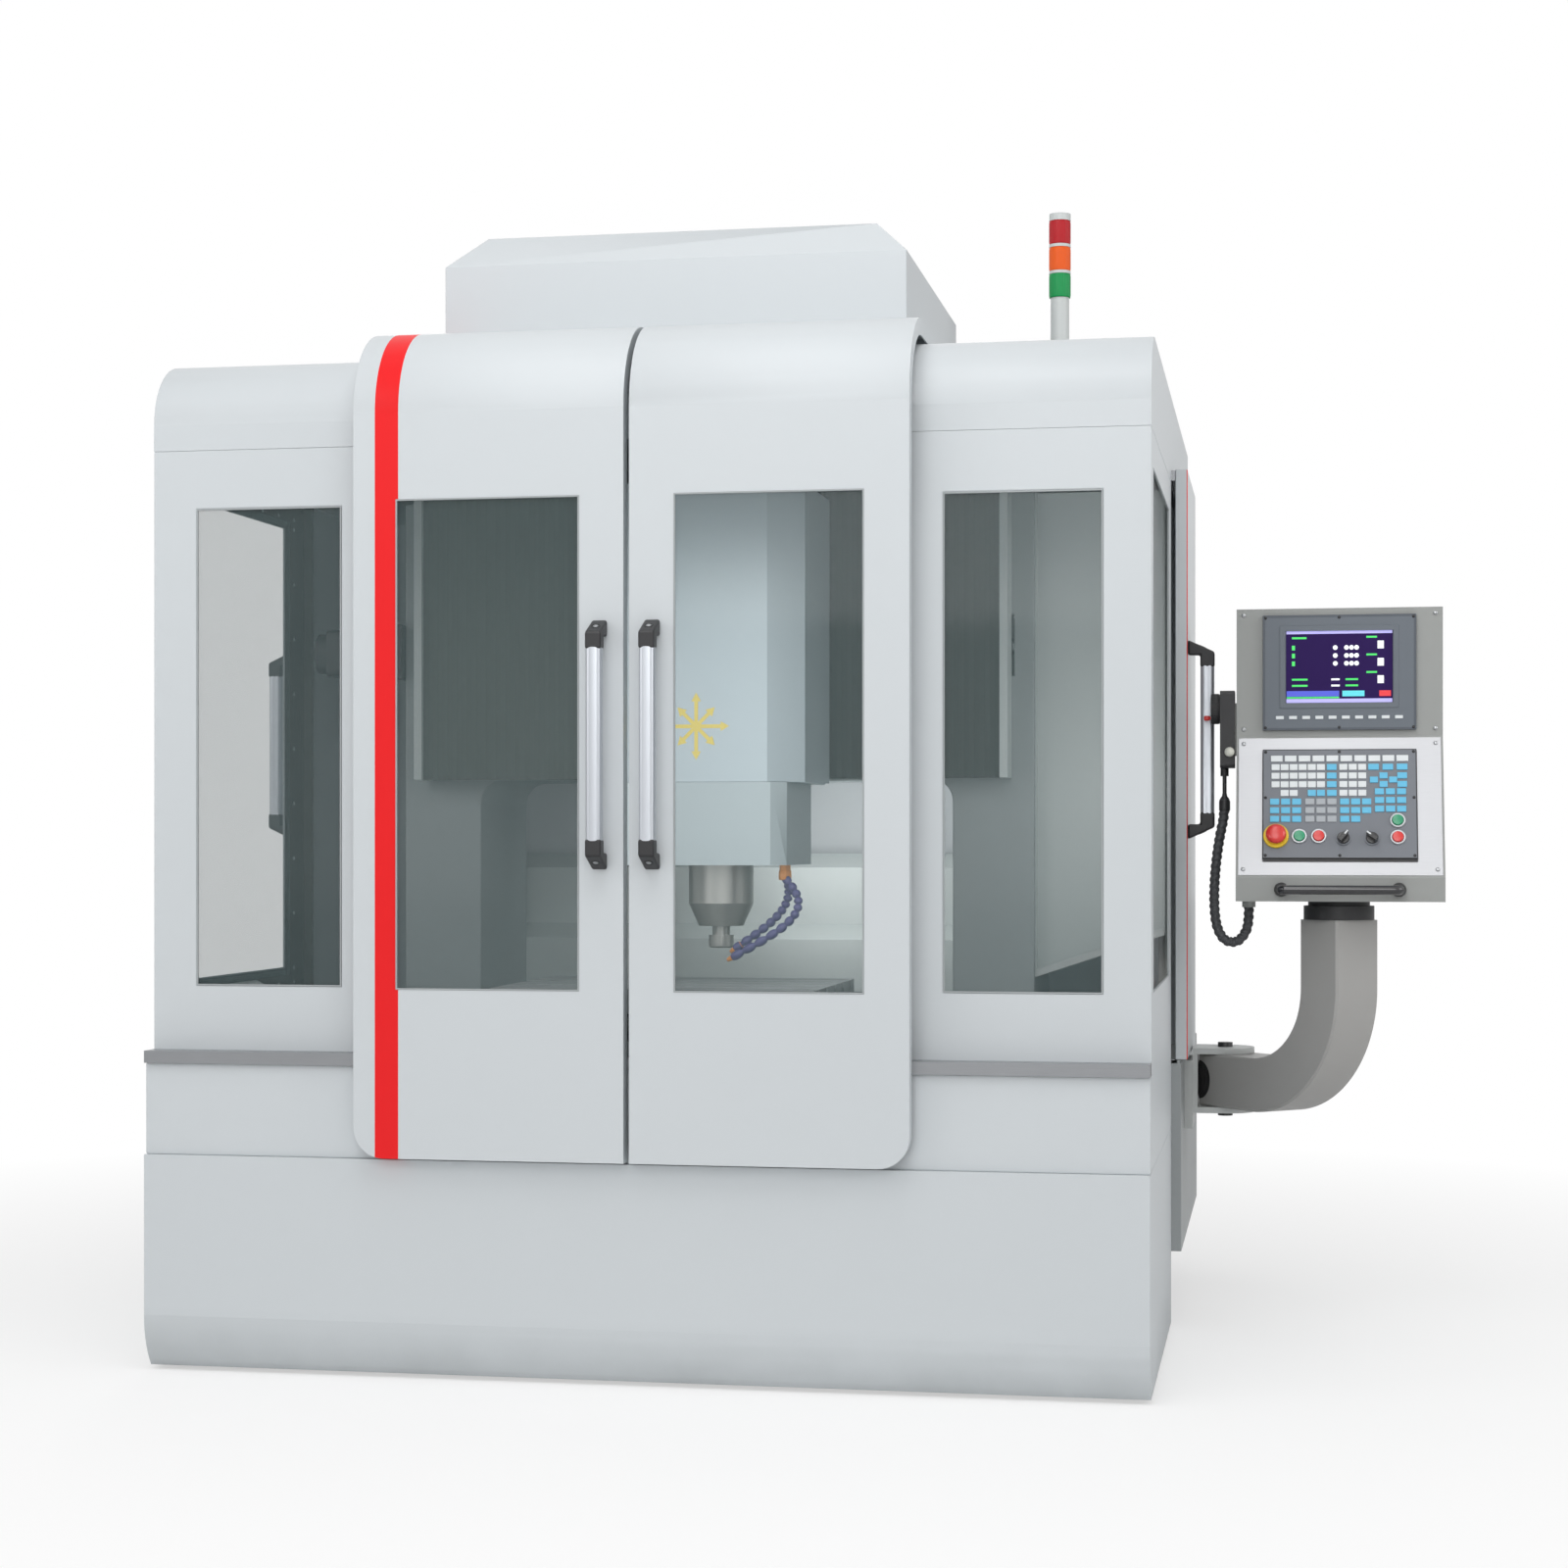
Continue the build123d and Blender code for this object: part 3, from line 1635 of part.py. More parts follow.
# Push buttons
for name, (across, down) in button_spots:
    with BuildPart() as button:
        with BuildSketch(plate.offset(stem_low)):
            with Locations((across, -down)):
                Circle(button_dia / 2)
        extrude(amount=keypad_thick + button_height - stem_low)
    save(button.part, name)

# Selector knobs with a grip bar
knob_low = keypad_thick + button_ring + fit_gap
for name, (across, down) in selector_spots:
    with BuildPart() as selector:
        with BuildSketch(plate.offset(stem_low)):
            with Locations((across, -down)):
                Circle(selector_dia / 4)
        extrude(amount=knob_low - stem_low)
        with BuildSketch(plate.offset(knob_low)):
            with Locations((across, -down)):
                Circle(selector_dia / 2)
        extrude(amount=selector_height / 3)
        with BuildSketch(plate.offset(knob_low)):
            with Locations((across, -down)):
                Rectangle(selector_bar, selector_dia - sheet)
        extrude(amount=selector_height)
    save(selector.part, name)

# Grab handle: a bar on two feet under the keypad
grab_z = (panel_plate_low + panel_low) / 2
grab_y = foot_y - grab_reach
grab_pieces = []
for side in (-1, 1):
    foot_x = axis_x + side * (grab_span - grab_foot) / 2
    with BuildPart() as grab_end:
        slab(
            foot_x - grab_foot / 2,
            foot_x + grab_foot / 2,
            grab_y - grab_dia / 2,
            foot_y,
            grab_z - grab_dia / 2,
            grab_z + grab_dia / 2,
        )
    grab_pieces.append(grab_end.part)
with BuildPart() as grab_bar:
    with BuildSketch(Plane.YZ.offset(axis_x - grab_span / 2 + grab_foot)):
        with Locations((grab_y, grab_z)):
            Circle(grab_dia / 2)
    extrude(amount=grab_span - 2 * grab_foot)
group("grab_handle", *grab_pieces, grab_bar.part)

# Handwheel unit: body with a neck and a short lead, and the dial with a crank knob
with BuildPart() as handwheel_body:
    slab(
        wheel_front,
        wheel_back,
        wheel_y - wheel_body_width / 2,
        wheel_y + wheel_body_width / 2,
        wheel_low,
        wheel_high,
    )
    fillet(handwheel_body.edges().filter_by(Axis.X), radius=panel_corner)
    # Pale ball knob at the lower front of the body
    ball_y = wheel_y - (wheel_body_width + ball_dia - sheet) / 2
    with Locations((wheel_back - ball_dia / 2, ball_y, panel_top - ball_drop)):
        Sphere(ball_dia / 2, rotation=(quarter_turn, 0, 0))
    with BuildSketch(Plane.XY.offset(wheel_low - wheel_neck)):
        with Locations((cord_line[0][0], cord_line[0][1])):
            Circle(wheel_neck / 2)
    extrude(amount=wheel_neck)
    with BuildSketch(Plane.XY.offset(cord_line[0][2])):
        with Locations((cord_line[0][0], cord_line[0][1])):
            Circle(lead_dia / 2)
    extrude(amount=wheel_low - wheel_neck - cord_line[0][2])
save(handwheel_body.part, "handwheel_body")

dial_z = wheel_high - dial_drop
dial_x = wheel_front - fit_gap
with BuildPart() as handwheel_dial:
    with BuildSketch(Plane.YZ.offset(dial_x - dial_height)):
        with Locations((wheel_y, dial_z)):
            Circle(dial_dia / 2)
    extrude(amount=dial_height)
    with BuildSketch(Plane.YZ.offset(dial_x - dial_height - crank_height)):
        with Locations((wheel_y, dial_z - crank_offset)):
            Circle(crank_dia / 2)
    extrude(amount=crank_height)
save(handwheel_dial.part, "handwheel_dial")


def bend_radii(points):
    """Radius of the arc at each inner point, from the shorter run beside it and the turn."""
    radii = []
    for before, here, after in zip(points, points[1:], points[2:]):
        arriving = Vector(here) - Vector(before)
        leaving = Vector(after) - Vector(here)
        half_turn = radians(arriving.get_angle(leaving)) / 2
        radii.append(bend_share * min(arriving.length, leaving.length) / tan(half_turn))
    return radii


# Cord of the handwheel: the wrapped hose from its lead to the gland under the panel
with BuildPart() as handwheel_cord:
    with BuildLine() as cord_route:
        FilletPolyline(*cord_line, radius=bend_radii(cord_line))
    with BuildSketch(Plane(cord_line[0], z_dir=cord_route.wire() % 0)):
        Circle(cord_dia / 2)
    sweep(path=cord_route.wire())
save(handwheel_cord.part, "handwheel_cord")
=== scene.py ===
"""Looks of an enclosed engraving machine: finishes, trim and small parts around its CAD frame."""

import logging
from dataclasses import dataclass, field, replace
from enum import Enum
from math import atan2, hypot, pi, radians
from typing import Iterable, Optional, Sequence

import bpy
import numpy as np
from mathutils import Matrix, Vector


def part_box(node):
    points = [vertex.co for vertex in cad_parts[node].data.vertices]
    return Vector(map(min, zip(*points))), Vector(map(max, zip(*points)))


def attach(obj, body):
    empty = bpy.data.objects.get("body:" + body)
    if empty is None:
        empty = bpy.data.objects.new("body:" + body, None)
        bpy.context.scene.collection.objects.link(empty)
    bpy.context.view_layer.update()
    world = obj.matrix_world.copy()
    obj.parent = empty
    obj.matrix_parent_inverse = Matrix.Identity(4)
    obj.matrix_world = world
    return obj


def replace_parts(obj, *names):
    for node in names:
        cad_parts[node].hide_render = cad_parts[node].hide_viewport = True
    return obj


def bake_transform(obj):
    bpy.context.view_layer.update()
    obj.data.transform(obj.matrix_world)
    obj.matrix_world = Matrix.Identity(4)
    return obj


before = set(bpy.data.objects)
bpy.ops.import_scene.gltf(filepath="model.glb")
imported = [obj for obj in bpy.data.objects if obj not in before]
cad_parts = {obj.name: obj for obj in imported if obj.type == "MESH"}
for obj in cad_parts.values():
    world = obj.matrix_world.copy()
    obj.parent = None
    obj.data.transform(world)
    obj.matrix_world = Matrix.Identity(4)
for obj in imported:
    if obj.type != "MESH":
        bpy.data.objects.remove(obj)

LOG = logging.getLogger("engraving_machine")
Rgb = tuple[int, int, int]
Point = tuple[float, float, float]
Rect = tuple[float, float, float, float]
Profile = tuple[tuple[float, float], ...]
Shape = tuple[np.ndarray, list]
WHITE_LIGHT = (1.0, 1.0, 1.0, 1.0)
# Grey laid at the foot of a finish: dust where it is lighter than the paint, as on the side boxes,
# and painted shade where it is darker, as on the skirt.
DUST_AND_SHADE_COLOUR: Rgb = (172, 177, 179)
COAT_ROUGHNESS = 0.12
SMEAR_SCALE, SMEAR_SPREAD = 14.0, 0.08
LATHE_EDGE, LATHE_ANGLE = 0.0004, 50.0
HOOP_EDGE = 0.0003
PLATE_EDGE = 0.0006
WELD_REACH = 0.00002
RIB_STEPS = 4
SEAL_WIDTH = 0.003
SEAL_DEPTH = (-0.003, 0.0008)


class Brush(Enum):
    """Which way the fine lines of a metal run, as stretch factors of its grain."""

    NONE = (1.0, 1.0, 1.0)
    ALONG_X = (0.03, 1.0, 1.0)
    ALONG_Z = (1.0, 1.0, 0.03)


def linear(rgb: Rgb) -> tuple[float, float, float, float]:
    """Linear colour of an 8-bit display colour, by the sRGB curve.

    Args:
        rgb: Red, green and blue from 0 to 255.

    Returns:
        Linear red, green, blue and an alpha of one.
    """
    share = np.asarray(rgb) / 255.0
    low = share / 12.92
    high = ((share + 0.055) / 1.055) ** 2.4
    return (*np.where(share <= 0.04045, low, high).tolist(), 1.0)


@dataclass(frozen=True)
class Wiring:
    """A node tree that takes each new node with its settings and feeds in one call.

    A feed is an output socket, which is linked, or a plain number, vector or colour, which is set.
    """

    tree: bpy.types.NodeTree

    def feed(self, socket: bpy.types.NodeSocket, value: object) -> None:
        """Links an output to an input socket, or sets the input to a plain value.

        Args:
            socket: The input.
            value: What it is fed with.
        """
        if isinstance(value, bpy.types.NodeSocket):
            self.tree.links.new(value, socket)
        else:
            socket.default_value = value

    def fill(self, node: bpy.types.Node, feeds: dict[str | int, object]) -> None:
        """Feeds several inputs of a node, by their names or numbers."""
        for label, value in feeds.items():
            self.feed(node.inputs[label], value)

    def node(self, kind: str, feeds: dict[str | int, object], **settings: object) -> bpy.types.Node:
        """Adds a shader node.

        Args:
            kind: Its type, without the words that all shader nodes start with.
            feeds: What goes into each input, by the input's name or number.
            settings: Properties of the node, set before it is fed.

        Returns:
            The new node.
        """
        node = self.tree.nodes.new(f"ShaderNode{kind}")
        for label, value in settings.items():
            setattr(node, label, value)
        self.fill(node, feeds)
        return node

    def add(
        self,
        kind: str,
        feeds: dict[str | int, object],
        outlet: str | int = 0,
        **settings: object,
    ) -> bpy.types.NodeSocket:
        """Adds a shader node and gives one of its outputs.

        Args:
            kind: Its type, as for a node.
            feeds: What goes into each input.
            outlet: Name or number of the output.
            settings: Properties of the node.

        Returns:
            The output socket.
        """
        return self.node(kind, feeds, **settings).outputs[outlet]

    def math(
        self, operation: str, first: object, second: object, clamp: bool = False
    ) -> bpy.types.NodeSocket:
        """The result of a sum on two feeds, held between zero and one where asked."""
        return self.add("Math", {0: first, 1: second}, operation=operation, use_clamp=clamp)

    def mixed(
        self, mask: bpy.types.NodeSocket, under: bpy.types.NodeSocket, over: Rgb
    ) -> bpy.types.NodeSocket:
        """A display colour laid over a colour socket, as far as the mask says."""
        feeds = {"Factor": mask, "A": under, "B": linear(over)}
        return self.add("Mix", feeds, "Result", data_type="RGBA")


class NodeGroups:
    """Shader effects that several finishes share, each built once."""

    def __init__(self) -> None:
        """Builds the three groups."""
        self.grain = self._grain()
        self.band = self._band()
        self.dust_and_shade = self._dust_and_shade()

    @staticmethod
    def _new(
        name: str, inputs: dict[str, str], outputs: dict[str, str]
    ) -> tuple[Wiring, bpy.types.bpy_prop_collection, bpy.types.bpy_prop_collection]:
        """An empty group with named sockets.

        Args:
            name: Name of the group.
            inputs: Kind of each input by its name.
            outputs: Kind of each output by its name.

        Returns:
            The group's wiring, the sockets that bring its inputs, and those that take its outputs.
        """
        group = bpy.data.node_groups.new(name, "ShaderNodeTree")
        for way, sockets in (("INPUT", inputs), ("OUTPUT", outputs)):
            for label, kind in sockets.items():
                group.interface.new_socket(label, in_out=way, socket_type=f"NodeSocket{kind}")
        start, end = group.nodes.new("NodeGroupInput"), group.nodes.new("NodeGroupOutput")
        return Wiring(group), start.outputs, end.inputs

    def _grain(self) -> bpy.types.NodeTree:
        """Fine and broad noise that varies a colour and a roughness, and gives a bump height.

        Returns:
            The group: the noises' sum less one, times the spread, shifts colour and roughness.
        """
        plain = {"Scale": "Float", "Spread": "Float", "Roughness": "Float"}
        net, given, wanted = self._new(
            "fine_grain",
            {"Vector": "Vector", "Colour": "Color", **plain},
            {"Colour": "Color", "Roughness": "Float", "Height": "Float"},
        )
        place = given["Vector"]
        fine_feeds = {"Vector": place, "Scale": given["Scale"], "Detail": 4.0}
        fine = net.add("TexNoise", fine_feeds, "Fac")
        broad = net.add("TexNoise", {"Vector": place, "Scale": 2.3, "Detail": 3.0}, "Fac")
        centred = net.math("SUBTRACT", net.math("ADD", fine, broad), 1.0)
        shift = net.math("MULTIPLY", centred, given["Spread"])
        gain = net.math("ADD", shift, 1.0)
        tint = net.add("VectorMath", {0: given["Colour"], "Scale": gain}, operation="SCALE")
        rough = net.math("ADD", given["Roughness"], shift, clamp=True)
        net.feed(wanted["Colour"], tint)
        net.feed(wanted["Roughness"], rough)
        net.feed(wanted["Height"], fine)
        return net.tree

    def _band(self) -> bpy.types.NodeTree:
        """A mask that is one inside a box given by its centre and half sizes, and zero outside.

        Returns:
            The group: one where the furthest side is still less than its half size away.
        """
        net, given, wanted = self._new(
            "band_mask",
            {"Vector": "Vector", "Centre": "Vector", "Half": "Vector"},
            {"Mask": "Float"},
        )
        away_feeds = {0: given["Vector"], 1: given["Centre"]}
        away = net.add("VectorMath", away_feeds, operation="SUBTRACT")
        size = net.add("VectorMath", {0: away}, operation="ABSOLUTE")
        past = net.add("VectorMath", {0: size, 1: given["Half"]}, operation="SUBTRACT")
        sides = net.node("SeparateXYZ", {0: past}).outputs
        level = net.math("MAXIMUM", sides["X"], sides["Y"])
        furthest = net.math("MAXIMUM", level, sides["Z"])
        net.feed(wanted["Mask"], net.math("LESS_THAN", furthest, 0.0))
        return net.tree

    def _dust_and_shade(self) -> bpy.types.NodeTree:
        """A mask of floor dust and painted shade: strongest at the floor, broken by noise, gone
        above a height.

        Returns:
            The group: one less the share of the height, times the noise.
        """
        net, given, wanted = self._new(
            "floor_dust_and_shade", {"Vector": "Vector", "Height": "Float"}, {"Mask": "Float"}
        )
        rise = net.add("SeparateXYZ", {0: given["Vector"]}, "Z")
        share = net.math("DIVIDE", rise, given["Height"])
        fade = net.math("SUBTRACT", 1.0, share, clamp=True)
        noise_feeds = {"Vector": given["Vector"], "Scale": 9.0, "Detail": 5.0}
        noise = net.add("TexNoise", noise_feeds, "Fac")
        net.feed(wanted["Mask"], net.math("MULTIPLY", fade, noise))
        return net.tree


GROUPS = NodeGroups()


def blank(name: str) -> tuple[bpy.types.Material, Wiring, bpy.types.Node]:
    """A new material.

    Args:
        name: Its name.

    Returns:
        The material, the wiring of its nodes, and its shader.
    """
    material = bpy.data.materials.new(name)
    material.use_nodes = True
    return material, Wiring(material.node_tree), material.node_tree.nodes["Principled BSDF"]


@dataclass(frozen=True)
class Band:
    """A field of another colour on a surface, inside a box in the machine's frame."""

    low: Point
    high: Point
    colour: Rgb


@dataclass(frozen=True)
class Finish:
    """An opaque finish: a colour with grain, gloss and bump, and any painted bands.

    Args:
        name: Name of the material.
        colour: Display colour.
        roughness: Roughness of the surface.
        metal: Share of metal.
        grain: Fineness of the grain in cycles per metre.
        spread: How far the grain shifts colour and roughness.
        bump: Depth of the grain in metres.
        coat: Weight of the clear coat.
        brush: Which way the grain runs.
        bands: Fields of other colours, some of them painted shade, painted in order.
        dust_and_shade_height: Height at which the floor's dust and the painted shade at the foot
            end, or zero for none.
        glow: Strength of its own light.
        gloss: Level of the mirror-like share of the light.
    """

    name: str
    colour: Rgb
    roughness: float = 0.4
    metal: float = 0.0
    grain: float = 900.0
    spread: float = 0.05
    bump: float = 0.00004
    coat: float = 0.0
    brush: Brush = Brush.NONE
    bands: tuple[Band, ...] = ()
    dust_and_shade_height: float = 0.0
    glow: float = 0.0
    gloss: float = 0.5

    def material(self) -> bpy.types.Material:
        """The finish as a material, made on first use.

        Returns:
            The Blender material of this finish.
        """
        known = bpy.data.materials.get(self.name)
        if known is not None:
            return known
        material, net, shader = blank(self.name)
        place = net.add("TexCoord", {}, "Object")
        stretched = net.add("Mapping", {"Vector": place, "Scale": self.brush.value})
        grain_feeds = {
            "Vector": stretched,
            "Colour": linear(self.colour),
            "Scale": self.grain,
            "Spread": self.spread,
            "Roughness": self.roughness,
        }
        grain = net.node("Group", grain_feeds, node_tree=GROUPS.grain).outputs
        colour = self._painted(net, place, grain["Colour"])
        bump_feeds = {"Distance": self.bump, "Height": grain["Height"]}
        shader_feeds = {
            "Metallic": self.metal,
            "Specular IOR Level": self.gloss,
            "Coat Weight": self.coat,
            "Coat Roughness": COAT_ROUGHNESS,
            "Base Color": colour,
            "Roughness": grain["Roughness"],
            "Normal": net.add("Bump", bump_feeds, "Normal"),
        }
        net.fill(shader, shader_feeds)
        if self.glow:
            net.fill(shader, {"Emission Color": colour, "Emission Strength": self.glow})
        return material

    def _painted(
        self, net: Wiring, place: bpy.types.NodeSocket, colour: bpy.types.NodeSocket
    ) -> bpy.types.NodeSocket:
        """Lays the bands, some of them painted shade, and the floor's dust and painted shade over a
        colour.

        Args:
            net: Wiring of the material.
            place: Socket of the object's coordinates.
            colour: Socket of the colour so far.

        Returns:
            The new colour's socket.
        """
        for band in self.bands:
            low, high = np.asarray(band.low), np.asarray(band.high)
            centre, half = ((low + high) / 2).tolist(), ((high - low) / 2).tolist()
            feeds = {"Vector": place, "Centre": centre, "Half": half}
            mask = net.add("Group", feeds, "Mask", node_tree=GROUPS.band)
            colour = net.mixed(mask, colour, band.colour)
        if self.dust_and_shade_height:
            feeds = {"Vector": place, "Height": self.dust_and_shade_height}
            mask = net.add("Group", feeds, "Mask", node_tree=GROUPS.dust_and_shade)
            colour = net.mixed(mask, colour, DUST_AND_SHADE_COLOUR)
        return colour


@dataclass(frozen=True)
class ClearFinish:
    """A see-through finish: tinted pane or lamp lens, with a faint smear in its gloss.

    Args:
        name: Name of the material.
        colour: Display colour.
        alpha: How far it hides what is behind it.
        roughness: Roughness of the surface.
        glow: Strength of its own light.
        gloss: Level of the mirror-like share of the light.
    """

    name: str
    colour: Rgb
    alpha: float
    roughness: float = 0.06
    glow: float = 0.0
    gloss: float = 0.5

    def material(self) -> bpy.types.Material:
        """The finish as a material, made on first use.

        Returns:
            The Blender material of this finish.
        """
        known = bpy.data.materials.get(self.name)
        if known is not None:
            return known
        material, net, shader = blank(self.name)
        grain_feeds = {
            "Vector": net.add("TexCoord", {}, "Object"),
            "Colour": linear(self.colour),
            "Scale": SMEAR_SCALE,
            "Spread": SMEAR_SPREAD,
            "Roughness": self.roughness,
        }
        grain = net.node("Group", grain_feeds, node_tree=GROUPS.grain).outputs
        shader_feeds = {
            "Alpha": self.alpha,
            "Specular IOR Level": self.gloss,
            "Emission Color": linear(self.colour),
            "Emission Strength": self.glow,
            "Base Color": grain["Colour"],
            "Roughness": grain["Roughness"],
        }
        net.fill(shader, shader_feeds)
        return material


STRIPE = Band((-0.455, -1.0, 0.0), (-0.412, 0.0, 2.0), (226, 14, 20))
# Painted shade on the cabin's inside faces: dark on the left wall, grey on the right.
LEFT_INNER_SHADE = Band((-0.8985, -0.823, 0.0), (0.0, 0.8235, 1.8335), (76, 74, 70))
RIGHT_INNER_SHADE = Band((0.0, -0.823, 0.0), (0.8985, 0.8235, 1.8335), (172, 170, 165))
SIDE_STRIPE = Band((0.93, -0.052, 0.0), (0.94, -0.044, 2.0), (214, 58, 52))
PIN_TOP = Band((0.984, 0.159, 0.5359), (1.016, 0.191, 0.560), (30, 30, 32))
PIN_FOOT = Band((0.984, 0.159, 0.360), (1.016, 0.191, 0.4041), (30, 30, 32))
BALL_FIELD = Band((0.990, -0.130, 1.100), (1.030, -0.1003, 1.150), (206, 206, 196))

CABIN = Finish("cabin_enamel", (199, 204, 207), 0.42, grain=1400.0, spread=0.02, gloss=0.32)
# The cabin paint with painted shade laid over its inside faces.
SHADED_WALL = replace(CABIN, name="cabin_wall_painted_shade", bands=(LEFT_INNER_SHADE, RIGHT_INNER_SHADE))
# Its foot darkens towards the floor: painted shade.
SKIRT = replace(CABIN, name="skirt_paint", colour=(198, 203, 206), dust_and_shade_height=0.12)
STRIPED = replace(CABIN, name="striped_door_paint", bands=(STRIPE,))
SIDE_DOOR = Finish(
    "side_door_paint", (190, 195, 198), 0.38, spread=0.02, coat=0.1, bands=(SIDE_STRIPE,)
)
BOX_GREY = Finish("box_paint", (150, 154, 155), 0.42, spread=0.03, dust_and_shade_height=0.25)
BRACKET = Finish("bracket_paint", (190, 193, 192), 0.42, spread=0.03, bands=(PIN_TOP, PIN_FOOT))
ARM_GREY = Finish("arm_paint", (158, 157, 155), 0.40, grain=1100.0, spread=0.03)
RAIL_METAL = Finish(
    "rail_metal", (146, 148, 151), 0.34, metal=0.7, brush=Brush.ALONG_X, spread=0.12
)
PANE = ClearFinish("window_pane", (106, 124, 126), 0.18)
GASKET = Finish("gasket_rubber", (46, 48, 48), 0.65, spread=0.1)
SEAL = Finish("window_seal", (158, 163, 165), 0.55, spread=0.06)
BLACK = Finish("black_moulding", (34, 34, 36), 0.45, grain=1600.0, spread=0.12, bump=0.00008)
BAR = Finish("anodised_bar", (196, 200, 206), 0.32, metal=0.75, brush=Brush.ALONG_Z, spread=0.10)
GRAB_BAR = Finish("grab_bar_black", (34, 34, 37), 0.16, spread=0.1, coat=0.5)
CASTING = Finish("casting_enamel", (152, 159, 160), 0.55, grain=420.0, spread=0.04, bump=0.00012)
HEAD = Finish("head_enamel", (168, 180, 185), 0.40, spread=0.03)
HEAD_BLOCK = Finish("head_block_paint", (160, 171, 174), 0.44, spread=0.03)
PALE = Finish("pale_sheet", (188, 195, 194), 0.40, spread=0.04)
STEEL = Finish(
    "ground_bar_steel", (172, 174, 176), 0.26, metal=1.0, brush=Brush.ALONG_X, spread=0.15
)
TURNED = Finish("turned_steel", (170, 170, 166), 0.32, metal=0.6, brush=Brush.ALONG_X, spread=0.16)
IRON = Finish("planed_iron", (156, 160, 160), 0.40, metal=0.35, brush=Brush.ALONG_X, spread=0.14)
PLEATS = Finish("pleat_fabric", (84, 90, 86), 0.85, grain=700.0, spread=0.06, bump=0.0001)
# A darker copy of the pleat fabric: painted shade on the right cover.
SHADED_PLEATS = replace(PLEATS, name="pleat_fabric_painted_shade", colour=(60, 64, 61))
BOOT = Finish("boot_rubber", (26, 26, 27), 0.62, grain=500.0, spread=0.15)
MOTOR = Finish("motor_paint", (40, 41, 44), 0.42, spread=0.1)
LINKS = Finish("hose_links", (82, 78, 128), 0.42, spread=0.08)
NOZZLE = Finish("nozzle_orange", (226, 150, 74), 0.42, spread=0.08)
ARROWS = Finish("arrow_print", (204, 186, 92), 0.5, spread=0.05)
LAMP_BODY = Finish("lamp_body", (192, 196, 195), 0.42, spread=0.04)
LAMP_RED = ClearFinish("lamp_red", (170, 10, 24), 0.96, 0.30, 0.08, 0.25)
LAMP_AMBER = replace(LAMP_RED, name="lamp_amber", colour=(220, 86, 8))
LAMP_GREEN = replace(LAMP_RED, name="lamp_green", colour=(6, 138, 72))
PANEL_GREY = Finish("panel_paint", (150, 152, 150), 0.46, grain=1000.0, spread=0.04)
SILVER = Finish("silver_plate", (182, 183, 186), 0.40, metal=0.55, brush=Brush.ALONG_X, spread=0.10)
BEZEL = Finish("bezel_plastic", (99, 106, 114), 0.48, grain=1500.0, spread=0.06)
SLATE = replace(BEZEL, name="slate_rim", colour=(80, 86, 94))
KEYPAD = Finish("keypad_film", (112, 116, 123), 0.44, grain=1500.0, spread=0.05)
LEVER = Finish("lever_black", (22, 22, 24), 0.26, spread=0.1, coat=0.3)
KEY_WHITE = Finish("white_key_film", (222, 226, 228), 0.42, spread=0.04)
KEY_CYAN = replace(KEY_WHITE, name="cyan_key_film", colour=(96, 186, 222))
KEY_GREY = replace(KEY_WHITE, name="grey_key_film", colour=(166, 171, 176))
SCREEN = Finish(
    "screen_glass", (42, 26, 76), 0.30, spread=0.03, bump=0.0, glow=0.25, gloss=0.05
)
SCREEN_BLUE = Finish("screen_blue", (66, 78, 190), 0.3, spread=0.02, glow=0.5)
SCREEN_WHITE = replace(SCREEN_BLUE, name="screen_white", colour=(226, 228, 232), glow=0.55)
SCREEN_GREEN = replace(SCREEN_BLUE, name="screen_green", colour=(60, 206, 92))
SCREEN_CYAN = replace(SCREEN_BLUE, name="screen_cyan", colour=(84, 196, 206))
SCREEN_RED = replace(SCREEN_BLUE, name="screen_red", colour=(206, 44, 52))
SCREEN_LILAC = replace(SCREEN_BLUE, name="screen_lilac", colour=(170, 166, 226))
RED = Finish("red_moulding", (214, 50, 46), 0.30, spread=0.05, coat=0.3)
GREEN = replace(RED, name="green_moulding", colour=(34, 148, 104))
YELLOW = Finish("yellow_collar", (232, 196, 42), 0.42, spread=0.05)
RING = Finish("button_ring", (178, 181, 184), 0.34, metal=0.6, spread=0.08)
WRAP = Finish("wrapped_hose", (66, 67, 70), 0.55, grain=800.0, spread=0.14)
SCREW = Finish("screw_zinc", (168, 170, 172), 0.32, metal=0.9, spread=0.12)
WHEEL_BODY = Finish(
    "wheel_body_plastic", (36, 36, 38), 0.45, grain=1600.0, spread=0.12, bands=(BALL_FIELD,)
)
FLOOR = Finish("studio_floor", (244, 244, 244), 0.7, grain=40.0, spread=0.01)


@dataclass(frozen=True)
class Axes:
    """A local frame: an origin and three unit directions in the machine's frame."""

    origin: Point = (0.0, 0.0, 0.0)
    across: Point = (1.0, 0.0, 0.0)
    up: Point = (0.0, 1.0, 0.0)
    out: Point = (0.0, 0.0, 1.0)

    def place(self, points: np.ndarray | Sequence) -> np.ndarray:
        """Local points to the machine's frame: origin plus each coordinate along its direction.

        Args:
            points: Array whose last axis holds across, up and out.

        Returns:
            The same points in the machine's frame.
        """
        basis = np.array([self.across, self.up, self.out])
        return np.asarray(points) @ basis + np.asarray(self.origin)

    def moved(self, across: float, up: float) -> "Axes":
        """The same directions from a point of the local plane."""
        return replace(self, origin=tuple(self.place([across, up, 0.0])))


def front_axes(origin: Point) -> Axes:
    """A frame on an upright face: across to the right, up, and out towards the front."""
    return Axes(origin, (1.0, 0.0, 0.0), (0.0, 0.0, 1.0), (0.0, -1.0, 0.0))


